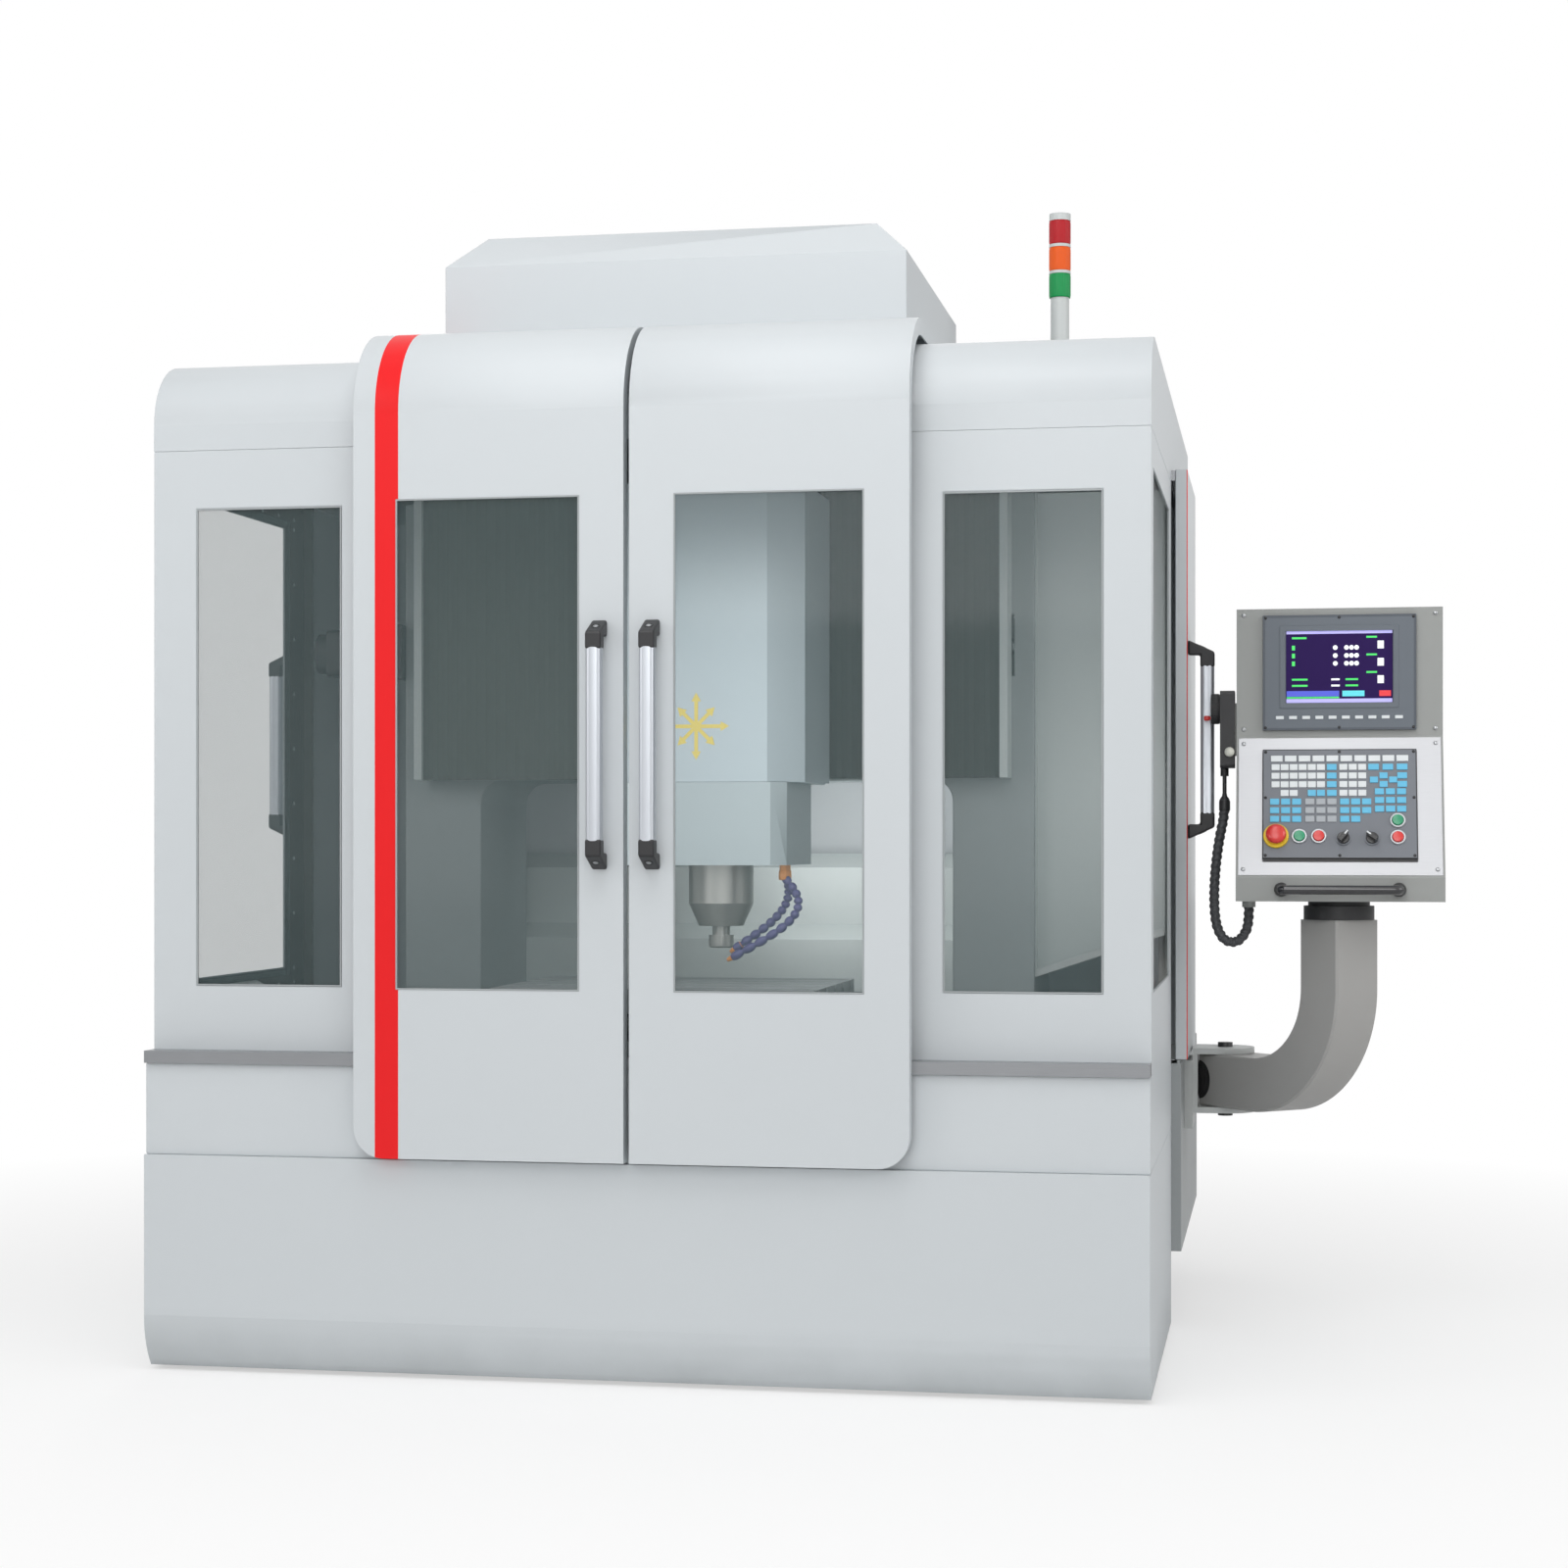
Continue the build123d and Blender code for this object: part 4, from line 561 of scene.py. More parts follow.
def mesh_piece(
    name: str,
    points: np.ndarray,
    faces: Iterable[Sequence[int]],
    finish: Finish | ClearFinish,
    body: Optional[str],
    smooth: bool = True,
) -> bpy.types.Object:
    """A mesh object that rides on a body.

    Args:
        name: Name of the piece.
        points: Its vertices in the machine's frame.
        faces: Vertex numbers of each face, in outward order.
        finish: Its finish.
        body: The body that it moves with, or None where it rides on none.
        smooth: Whether its faces are shaded smooth.

    Returns:
        The new object.
    """
    mesh = bpy.data.meshes.new(name)
    corners = np.asarray(points).reshape(-1, 3).tolist()
    mesh.from_pydata(corners, [], [list(face) for face in faces])
    mesh.polygons.foreach_set("use_smooth", np.full(len(mesh.polygons), smooth))
    mesh.materials.append(finish.material())
    mesh.update()
    piece = bpy.data.objects.new(name, mesh)
    bpy.context.scene.collection.objects.link(piece)
    if body is not None:
        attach(piece, body)
    LOG.info("%s: %d faces on %s", name, len(mesh.polygons), body or "two bodies")
    return piece


def soften(piece: bpy.types.Object, width: float, segments: int = 2, angle: float = 40.0) -> None:
    """Rounds a piece's sharp edges by a bevel.

    Args:
        piece: The piece.
        width: Width of the bevel.
        segments: Steps across it.
        angle: Turn in degrees from which an edge counts as sharp.
    """
    bevel = piece.modifiers.new("soft_edges", "BEVEL")
    bevel.width = width
    bevel.segments = segments
    bevel.limit_method = "ANGLE"
    bevel.angle_limit = radians(angle)
    bevel.harden_normals = True


def grid_faces(rows: int, columns: int, wrap_rows: bool = False) -> np.ndarray:
    """Quads of a grid of points, numbered row by row, whose last column joins its first.

    Args:
        rows: Number of rows of points.
        columns: Number of points in a row.
        wrap_rows: Whether the last row joins the first.

    Returns:
        Array of four vertex numbers for each quad.
    """
    row = np.arange(rows if wrap_rows else rows - 1)[:, None]
    column = np.arange(columns)[None, :]
    below = row * columns
    above = ((row + 1) % rows) * columns
    after = (column + 1) % columns
    quads = np.stack([below + column, below + after, above + after, above + column], axis=-1)
    return quads.reshape(-1, 4)


def tube_faces(rows: int, sides: int) -> list:
    """Quads of a tube of points in rings, and a cap on each end.

    Args:
        rows: Number of rings.
        sides: Number of points in a ring.

    Returns:
        Vertex numbers of each face.
    """
    caps = [list(range(sides))[::-1], list(range((rows - 1) * sides, rows * sides))]
    return grid_faces(rows, sides).tolist() + caps


def turns(count: int) -> np.ndarray:
    """Angles of even steps of one turn."""
    return np.arange(count) * 2 * pi / count


def circle(count: int) -> np.ndarray:
    """Unit circle as cosines and sines of even steps of a turn."""
    return np.stack([np.cos(turns(count)), np.sin(turns(count))], axis=-1)


def turned_plane(angle: float) -> np.ndarray:
    """The two directions of a plane after a turn by an angle in radians, as rows."""
    return np.array([[np.cos(angle), np.sin(angle)], [-np.sin(angle), np.cos(angle)]])


def rib_wave(ribs: int) -> np.ndarray:
    """Height of upright ribs round a rim from zero to one: half less half the cosine."""
    return 0.5 - 0.5 * np.cos(turns(ribs * RIB_STEPS) * ribs)


def rings(radius: np.ndarray, height: np.ndarray, sides: int) -> np.ndarray:
    """Rings of points round the out axis: a radius times the unit circle, at a height.

    Args:
        radius: Radius of each ring as a column, or of each ring and side.
        height: Height of each ring.
        sides: Number of steps round the axis.

    Returns:
        Points as rings by sides by three.
    """
    points = np.empty((len(height), sides, 3))
    points[..., :2] = radius[..., None] * circle(sides)
    points[..., 2] = height[:, None]
    return points


def turned(profile: Sequence[tuple[float, float]], sides: int) -> np.ndarray:
    """A turned form: each profile point (radius, height) carried round the out axis."""
    radius, height = np.asarray(profile, dtype=float).T
    return rings(radius[:, None], height, sides)


def repeated(points: np.ndarray, faces: Sequence[Sequence[int]], places: np.ndarray) -> Shape:
    """Copies of a shape at each place, as one set of points and faces.

    Args:
        points: The shape's points.
        faces: The shape's faces.
        places: One offset for each copy.

    Returns:
        All the points, and all the faces with their numbers moved on.
    """
    places = np.asarray(places, dtype=float).reshape(-1, 3)
    copies = points[None] + places[:, None]
    starts = [copy * len(points) for copy in range(len(places))]
    numbered = [[number + start for number in face] for start in starts for face in faces]
    return copies.reshape(-1, 3), numbered


CORNERS = np.array(
    [
        [-1, -1, -1],
        [1, -1, -1],
        [1, 1, -1],
        [-1, 1, -1],
        [-1, -1, 1],
        [1, -1, 1],
        [1, 1, 1],
        [-1, 1, 1],
    ],
    dtype=float,
)
BOX_FACES = [[0, 3, 2, 1], [4, 5, 6, 7], [0, 1, 5, 4], [1, 2, 6, 5], [2, 3, 7, 6], [3, 0, 4, 7]]


def blocks(
    name: str,
    axes: Axes,
    centres: np.ndarray | Sequence[Point],
    size: Point,
    finish: Finish,
    body: str,
    edge: float,
) -> bpy.types.Object:
    """One or more equal blocks with softened edges, as one piece.

    Args:
        name: Name of the piece.
        axes: Local frame of the centres.
        centres: Centre of each block in that frame.
        size: Full size of a block across, up and out.
        finish: Finish of the blocks.
        body: Body that they ride on.
        edge: Width of the softened edges.

    Returns:
        The new object.
    """
    points, faces = repeated(CORNERS * np.asarray(size) / 2, BOX_FACES, centres)
    piece = mesh_piece(name, axes.place(points), faces, finish, body)
    soften(piece, edge)
    return piece


def lathed(
    name: str,
    axes: Axes,
    profile: Sequence[tuple[float, float]],
    finish: Finish | ClearFinish,
    body: str,
    places: Sequence[Point] = ((0.0, 0.0, 0.0),),
    sides: int = 48,
) -> bpy.types.Object:
    """Turned pieces at one or more places of a local frame, as one piece.

    Args:
        name: Name of the piece.
        axes: Local frame, whose out direction is the axis.
        profile: Radius and height pairs from the bottom to the top.
        finish: Finish of the pieces.
        body: Body that they ride on.
        places: Where each copy stands.
        sides: Steps round the axis.

    Returns:
        The new object.
    """
    form = turned(profile, sides).reshape(-1, 3)
    points, faces = repeated(form, tube_faces(len(profile), sides), np.asarray(places))
    piece = mesh_piece(name, axes.place(points), faces, finish, body)
    soften(piece, LATHE_EDGE, 1, LATHE_ANGLE)
    return piece


def hoop(
    name: str,
    axes: Axes,
    loop: Sequence[tuple[float, float]],
    finish: Finish,
    body: str,
    sides: int = 48,
) -> bpy.types.Object:
    """An open ring: a closed loop of radius and height pairs carried round the out axis.

    Args:
        name: Name of the piece.
        axes: Local frame whose out direction is the ring's axis.
        loop: The section, up its outer side and down its inner side.
        finish: Finish of the ring.
        body: The body that it moves with.
        sides: Number of steps round the axis.

    Returns:
        The new object.
    """
    faces = grid_faces(len(loop), sides, wrap_rows=True)
    piece = mesh_piece(name, axes.place(turned(loop, sides)), faces, finish, body)
    soften(piece, HOOP_EDGE, 1)
    return piece


def extruded(outline: np.ndarray, low: float, high: float) -> Shape:
    """A flat outline carried straight along the out direction.

    Args:
        outline: Across and up of each corner, anticlockwise.
        low: Where it starts along the out direction.
        high: Where it ends.

    Returns:
        Its points and faces.
    """
    points = np.empty((2, len(outline), 3))
    points[..., :2] = outline
    points[0, :, 2] = low
    points[1, :, 2] = high
    return points, tube_faces(2, len(outline))


def prism(
    name: str,
    axes: Axes,
    outline: np.ndarray | Sequence[tuple[float, float]],
    depth: tuple[float, float],
    finish: Finish,
    body: str,
    edge: float,
) -> bpy.types.Object:
    """A flat outline carried straight along the out direction, with softened edges.

    Args:
        name: Name of the piece.
        axes: Local frame of the outline.
        outline: Across and up of each corner, anticlockwise.
        depth: Where the prism starts and ends along the out direction.
        finish: Its finish.
        body: Body that it rides on.
        edge: Width of the softened edges.

    Returns:
        The new object.
    """
    points, faces = extruded(np.asarray(outline, dtype=float), *depth)
    piece = mesh_piece(name, axes.place(points), faces, finish, body)
    soften(piece, edge)
    return piece


def shrunk(box: Rect, by: float) -> Rect:
    """A rectangle drawn in by the same amount on all four sides."""
    return (box[0] + by, box[1] + by, box[2] - by, box[3] - by)


def ring_plate(
    name: str,
    axes: Axes,
    outer: Rect,
    inner: Rect,
    depth: tuple[float, float],
    finish: Finish,
    body: str,
) -> bpy.types.Object:
    """A flat rectangular frame: four loops of four corners, joined round and closed.

    Args:
        name: Name of the piece.
        axes: Local frame of the rectangles.
        outer: Low across, low up, high across, high up of the outside.
        inner: The same of the opening.
        depth: Where it starts and ends along the out direction.
        finish: Its finish.
        body: Body that it rides on.

    Returns:
        The new object.
    """

    def loop(box: Rect, height: float) -> list[Point]:
        """Corners of a rectangle at a height, anticlockwise."""
        x0, y0, x1, y1 = box
        return [(x0, y0, height), (x1, y0, height), (x1, y1, height), (x0, y1, height)]

    low, high = depth
    points = np.array([loop(outer, low), loop(outer, high), loop(inner, high), loop(inner, low)])
    faces = grid_faces(4, 4, wrap_rows=True)
    piece = mesh_piece(name, axes.place(points), faces.tolist(), finish, body)
    soften(piece, PLATE_EDGE, 1)
    return piece


def window_seal(name: str, axes: Axes, opening: Rect, body: str) -> None:
    """A rubber strip inside the edge of a window's opening.

    Args:
        name: Name of the piece.
        axes: Frame of the face that the window is in.
        opening: The window's rectangle in that frame.
        body: Body that it rides on.
    """
    ring_plate(name, axes, opening, shrunk(opening, SEAL_WIDTH), SEAL_DEPTH, SEAL, body)


def swept(path: np.ndarray, radius: np.ndarray | float, sides: int) -> Shape:
    """A round tube along a path, from a frame that turns with it as little as it can.

    Args:
        path: Points of the centre line.
        radius: One radius, one for each point, or one for each point and side.
        sides: Steps round the tube.

    Returns:
        Points and faces with both end caps.
    """
    path = np.asarray(path, dtype=float)
    along = np.gradient(path, axis=0)
    along /= np.linalg.norm(along, axis=1, keepdims=True)
    start = np.cross(along[0], [0.31, 0.87, 0.38])
    side = start - along * (along @ start)[:, None]
    side /= np.linalg.norm(side, axis=1, keepdims=True)
    other = np.cross(along, side)
    ring = circle(sides)
    reach = np.asarray(radius, dtype=float)
    reach = reach if reach.ndim == 2 else reach.reshape(-1, 1)
    reach = np.broadcast_to(reach, (len(path), sides))[..., None]
    spokes = ring[None, :, :1] * side[:, None] + ring[None, :, 1:] * other[:, None]
    points = path[:, None] + reach * spokes
    return points.reshape(-1, 3), tube_faces(len(path), sides)


def spline_points(points: Sequence[Point]) -> np.ndarray:
    """Points read from the NURBS line of a route, of order three and through both ends.

    Args:
        points: The route's control points.

    Returns:
        Points along the line.
    """
    curve = bpy.data.curves.new("route_guide", "CURVE")
    curve.dimensions = "3D"
    curve.resolution_u = 12
    spline = curve.splines.new("NURBS")
    spline.points.add(len(points) - 1)
    weighted = np.ones((len(points), 4))
    weighted[:, :3] = points
    spline.points.foreach_set("co", weighted.ravel())
    spline.order_u = 3
    spline.use_endpoint_u = True
    guide = bpy.data.objects.new("route_guide", curve)
    bpy.context.scene.collection.objects.link(guide)
    mesh = bpy.data.meshes.new_from_object(guide)
    flat = np.empty(len(mesh.vertices) * 3)
    mesh.vertices.foreach_get("co", flat)
    bpy.data.objects.remove(guide)
    return flat.reshape(-1, 3)


def reach_along(path: np.ndarray) -> np.ndarray:
    """Length of a path from its start to each of its points."""
    step = np.linalg.norm(np.diff(path, axis=0), axis=1)
    return np.concatenate([[0.0], np.cumsum(step)])


def evenly(path: np.ndarray, count: int) -> np.ndarray:
    """A path's points moved to an even spacing, by its length from the start.

    Args:
        path: Points of the path.
        count: Number of points that are wanted.

    Returns:
        The evenly spaced points.
    """
    reach = reach_along(path)
    even = np.linspace(0.0, reach[-1], count)
    return np.stack([np.interp(even, reach, path[:, axis]) for axis in range(3)], axis=-1)


def dress(finish: Finish | ClearFinish, *names: str, edge: float = 0.0) -> None:
    """Gives CAD nodes a finish and, where asked, softly rounded edges.

    Args:
        finish: The finish.
        names: Names of the nodes.
        edge: Width of the rounded edges, or zero for none.
    """
    for name in names:
        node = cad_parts[name]
        node.data.materials.clear()
        node.data.materials.append(finish.material())
        if edge:
            weld = node.modifiers.new("joined_facets", "WELD")
            weld.merge_threshold = WELD_REACH
            soften(node, edge)


def low_of(node: str) -> np.ndarray:
    """Lowest corner of a CAD node."""
    return np.array(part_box(node)[0])


def high_of(node: str) -> np.ndarray:
    """Highest corner of a CAD node."""
    return np.array(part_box(node)[1])


@dataclass(frozen=True)
class Lamp:
    """A square soft lamp at a place, facing a target."""

    name: str
    place: Point
    target: Point
    size: float
    power: float

    def build(self) -> None:
        """Makes the lamp, tipped up from straight down and turned round to its target."""
        light = bpy.data.lights.new(self.name, "AREA")
        light.size = self.size
        light.energy = self.power
        holder = bpy.data.objects.new(self.name, light)
        holder.location = self.place
        east, north, rise = (end - start for start, end in zip(self.place, self.target))
        tip, turn = atan2(hypot(east, north), -rise), atan2(north, east) - pi / 2
        holder.rotation_euler = (tip, 0.0, turn)
        bpy.context.scene.collection.objects.link(holder)


@dataclass
class Studio:
    """Camera, lamps, floor and surroundings, none of which are part of the machine."""

    eye: Point = (1.1376, -5.582, 0.957)
    yaw: float = 10.4
    lens: float = 63.74
    sensor: float = 36.0
    rise: float = 0.03625
    floor_reach: float = 40.0
    fade_span: tuple[float, float] = (1.2, 3.4)
    near_white: float = 0.55
    ambient: float = 0.40
    lamps: tuple[Lamp, ...] = (
        Lamp("key_lamp", (0.4, -6.4, 3.4), (0.1, -0.6, 1.0), 3.4, 105.0),
        Lamp("top_lamp", (0.2, -2.3, 4.0), (0.0, -0.5, 1.4), 2.2, 44.0),
        Lamp("left_lamp", (-4.2, -3.4, 2.8), (-0.4, -0.2, 1.0), 2.4, 40.0),
        Lamp("right_lamp", (4.6, -1.6, 2.6), (0.9, 0.0, 1.0), 2.4, 50.0),
        Lamp("back_lamp", (-1.2, 5.2, 3.2), (0.0, 0.4, 1.0), 2.6, 52.0),
        Lamp("cabin_lamp", (0.05, -0.74, 1.12), (0.05, -0.30, 1.12), 0.7, 1.95),
        Lamp("rear_lamp", (0.32, 0.20, 1.30), (0.32, 0.42, 0.94), 0.3, 1.0),
        Lamp("right_inner_lamp", (0.81, -0.60, 1.05), (0.81, -0.10, 1.05), 0.15, 0.42),
        Lamp("portal_lamp", (0.20, -0.02, 1.00), (0.24, 0.37, 0.92), 0.35, 1.7),
    )

    def build_camera(self) -> None:
        """Places the level camera of the photograph and makes it the scene's own."""
        camera = bpy.data.cameras.new("photo_camera")
        camera.lens = self.lens
        camera.sensor_width = self.sensor
        camera.shift_y = self.rise
        viewer = bpy.data.objects.new("photo_camera", camera)
        viewer.location = self.eye
        viewer.rotation_euler = (radians(90.0), 0.0, radians(self.yaw))
        bpy.context.scene.collection.objects.link(viewer)
        bpy.context.scene.camera = viewer
        bpy.context.scene.view_settings.view_transform = "Standard"

    def build(self) -> None:
        """Makes the floor, the pale surroundings and the lamps."""
        self._floor()
        self._world()
        for lamp in self.lamps:
            lamp.build()

    def _floor(self) -> None:
        """A plain pale floor that shows white to the camera and keeps the machine's shadow."""
        reach = self.floor_reach
        mesh = bpy.data.meshes.new("studio_floor")
        corners = [(x * reach, y * reach, 0.0) for x, y in ((-1, -1), (1, -1), (1, 1), (-1, 1))]
        mesh.from_pydata(corners, [], [(0, 1, 2, 3)])
        material = FLOOR.material()
        net, nodes = Wiring(material.node_tree), material.node_tree.nodes
        place = net.add("TexCoord", {}, "Object")
        away = net.add("VectorMath", {0: place}, "Value", operation="LENGTH")
        near, far = self.fade_span
        fade_feeds = {
            "Value": away,
            "From Min": near,
            "From Max": far,
            "To Min": self.near_white,
            "To Max": 1.0,
        }
        fade = net.add("MapRange", fade_feeds, "Result")
        share = net.math("MULTIPLY", net.add("LightPath", {}, "Is Camera Ray"), fade)
        painted, glow = nodes["Principled BSDF"].outputs[0], net.add("Emission", {})
        mix = net.add("MixShader", {"Fac": share, 1: painted, 2: glow})
        net.feed(nodes["Material Output"].inputs["Surface"], mix)
        mesh.materials.append(material)
        floor = bpy.data.objects.new("studio_floor", mesh)
        bpy.context.scene.collection.objects.link(floor)

    def _world(self) -> None:
        """White to the camera, to mirrors and through glass, and a plain soft light elsewhere."""
        world = bpy.data.worlds.new("studio_world")
        world.use_nodes = True
        net = Wiring(world.node_tree)
        path = net.node("LightPath", {}).outputs
        seen = net.math("MAXIMUM", path["Is Camera Ray"], path["Is Transmission Ray"])
        white = net.math("MAXIMUM", seen, path["Is Glossy Ray"])
        level_feeds = {"Value": white, "To Min": self.ambient, "To Max": 1.0}
        level = net.add("MapRange", level_feeds, "Result")
        ground = world.node_tree.nodes["Background"]
        net.fill(ground, {"Color": WHITE_LIGHT, "Strength": level})
        bpy.context.scene.world = world


@dataclass
class HandwheelCord:
    """Wrapped hose that takes the handwheel unit's lead into the panel."""

    hose_route: tuple[Point, ...] = (
        (1.0044, -0.0621, 1.038),
        (1.0044, -0.0621, 1.008),
        (0.9954, -0.0641, 0.968),
        (0.9884, -0.0641, 0.920),
        (0.9844, -0.0631, 0.870),
        (0.9844, -0.0621, 0.822),
        (0.9894, -0.0611, 0.785),
        (1.0044, -0.0601, 0.760),
        (1.0284, -0.0601, 0.757),
        (1.0454, -0.0601, 0.776),
        (1.0514, -0.0601, 0.800),
        (1.0514, -0.0601, 0.827),
    )
    hose_dia: float = 0.020
    hose_length: float = 0.380
    hose_steps: int = 260
    hose_sides: int = 20
    wrap_pitch: float = 0.013
    wrap_depth: float = 0.0014
    gap_level: float = 0.15
    gap_slope: float = 2.5
    sleeve: Profile = (
        (0.0108, -0.022),
        (0.0108, -0.004),
        (0.0086, 0.002),
        (0.0050, 0.007),
        (0.0044, 0.012),
    )
    sleeve_sides: int = 24
    body: str = "control_panel"

    def build(self) -> None:
        path = evenly(spline_points(self.hose_route), self.hose_steps)
        points, faces = swept(path, self._wrapped(reach_along(path)), self.hose_sides)
        hose = mesh_piece("wrapped_hose", points, faces, WRAP, self.body)
        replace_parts(hose, "handwheel_cord")
        top = Axes(self.hose_route[0])
        sleeve = lathed(
            "hose_sleeve", top, self.sleeve, BLACK, self.body, sides=self.sleeve_sides
        )

    def _wrapped(self, reach: np.ndarray) -> np.ndarray:
        """Radius of the hose: full on the spiral band, less in the gap that runs round it.

        Args:
            reach: Length of the hose up to each of its points.

        Returns:
            Radius for each point and side.
        """
        turn = turns(self.hose_sides)
        wave = np.sin(turn[None] - 2 * pi * reach[:, None] / self.wrap_pitch)
        gap = np.clip((self.gap_level - wave) * self.gap_slope, 0.0, 1.0)
        return self.hose_dia / 2 - self.wrap_depth * gap


@dataclass
class BowHandle:
    """A bow handle: an anodised bar between two black angled ends with their screw wells."""

    name: str
    body: str
    origin: Point
    outward: Point
    sideways: Point
    low: float
    high: float
    reach: float = 0.052
    bar_dia: float = 0.028
    slope: float = 0.024
    end: float = 0.054
    foot: float = 0.030
    end_edge: float = 0.004
    well_share: float = 0.55
    well: Profile = (
        (0.0086, -0.001),
        (0.0086, 0.0006),
        (0.0070, 0.0007),
        (0.0064, -0.0004),
        (0.0010, -0.0004),
    )
    well_sides: int = 28
    screw: Profile = (
        (0.0046, -0.0006),
        (0.0046, 0.0004),
        (0.0036, 0.0009),
        (0.0022, 0.0009),
        (0.0020, 0.0001),
        (0.0004, 0.0001),
    )
    screw_sides: int = 18
    bar_sides: int = 48
    bar_fit: float = 0.98
    bar_power: float = 0.62
    bar_lap: float = 0.004
    bar_edge: float = 0.0006
    bar_angle: float = 60.0
    groove_depth: float = 0.07
    groove_width: float = 0.10
    tips: tuple[tuple[str, float, int], ...] = field(init=False)

    def __post_init__(self) -> None:
        """Lists each end: its label, its height and which way it runs."""
        self.tips = (("upper", self.high, -1), ("lower", self.low, 1))

    def build(self) -> None:
        """Makes the two ends, the fixing screws and the bar, and hides the plain solid."""
        axes = Axes(self.origin, self.outward, (0.0, 0.0, 1.0), self.sideways)
        depth = (-self.bar_dia / 2, self.bar_dia / 2)
        inner = self.reach - self.bar_dia
        for label, tip, turn in self.tips:
            outline = [
                (0.0, tip),
                (self.reach, tip + turn * self.slope),
                (self.reach, tip + turn * self.end),
                (inner, tip + turn * self.end),
                (inner, tip + turn * self.foot),
                (0.0, tip + turn * self.foot),
            ]
            name = f"{self.name}_{label}_end"
            end = prism(name, axes, outline[::turn], depth, BLACK, self.body, self.end_edge)
            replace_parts(end, self.name)
        self._screw_wells(axes)
        self._bar(axes)

    def _screw_wells(self, axes: Axes) -> None:
        """A rimmed well with its screw on the sloped face of each end.

        Args:
            axes: Frame of the handle.
        """
        lean = hypot(self.reach, self.slope)
        basis = replace(axes, origin=(0.0, 0.0, 0.0))
        share = self.well_share
        for label, tip, turn in self.tips:
            slope_up = np.array([self.reach, turn * self.slope, 0.0]) / lean
            slope_out = np.array([self.slope, -turn * self.reach, 0.0]) / lean
            middle = np.array([self.reach * share, tip + turn * self.slope * share, 0.0])
            seat = Axes(
                tuple(axes.place(middle)),
                tuple(basis.place(slope_up)),
                tuple(basis.place(np.cross(slope_out, slope_up))),
                tuple(basis.place(slope_out)),
            )
            name = f"{self.name}_{label}"
            lathed(f"{name}_well", seat, self.well, GASKET, self.body, sides=self.well_sides)
            lathed(f"{name}_screw", seat, self.screw, SCREW, self.body, sides=self.screw_sides)

    def _bar(self, axes: Axes) -> None:
        """The bar: a rounded oval section with a shallow groove down each side.

        Args:
            axes: Frame of the handle.
        """
        turn = turns(self.bar_sides)
        wide = self.bar_dia / 2 * self.bar_fit
        across = wide * np.sign(np.cos(turn)) * np.abs(np.cos(turn)) ** self.bar_power
        along = wide * np.sign(np.sin(turn)) * np.abs(np.sin(turn)) ** self.bar_power
        off_side = np.abs(np.abs(turn - pi) - pi / 2) / self.groove_width
        groove = 1.0 - self.groove_depth * np.exp(-(off_side**2))
        inset = (self.low + self.end - self.bar_lap, self.high - self.end + self.bar_lap)
        points = np.empty((2, self.bar_sides, 3))
        points[..., 0] = self.reach - self.bar_dia / 2 + across * groove
        points[..., 1] = np.array(inset)[:, None]
        points[..., 2] = -along * groove
        faces = tube_faces(2, self.bar_sides)
        bar = mesh_piece(f"{self.name}_bar", axes.place(points), faces, BAR, self.body)
        soften(bar, self.bar_edge, 1, self.bar_angle)
        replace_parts(bar, self.name)


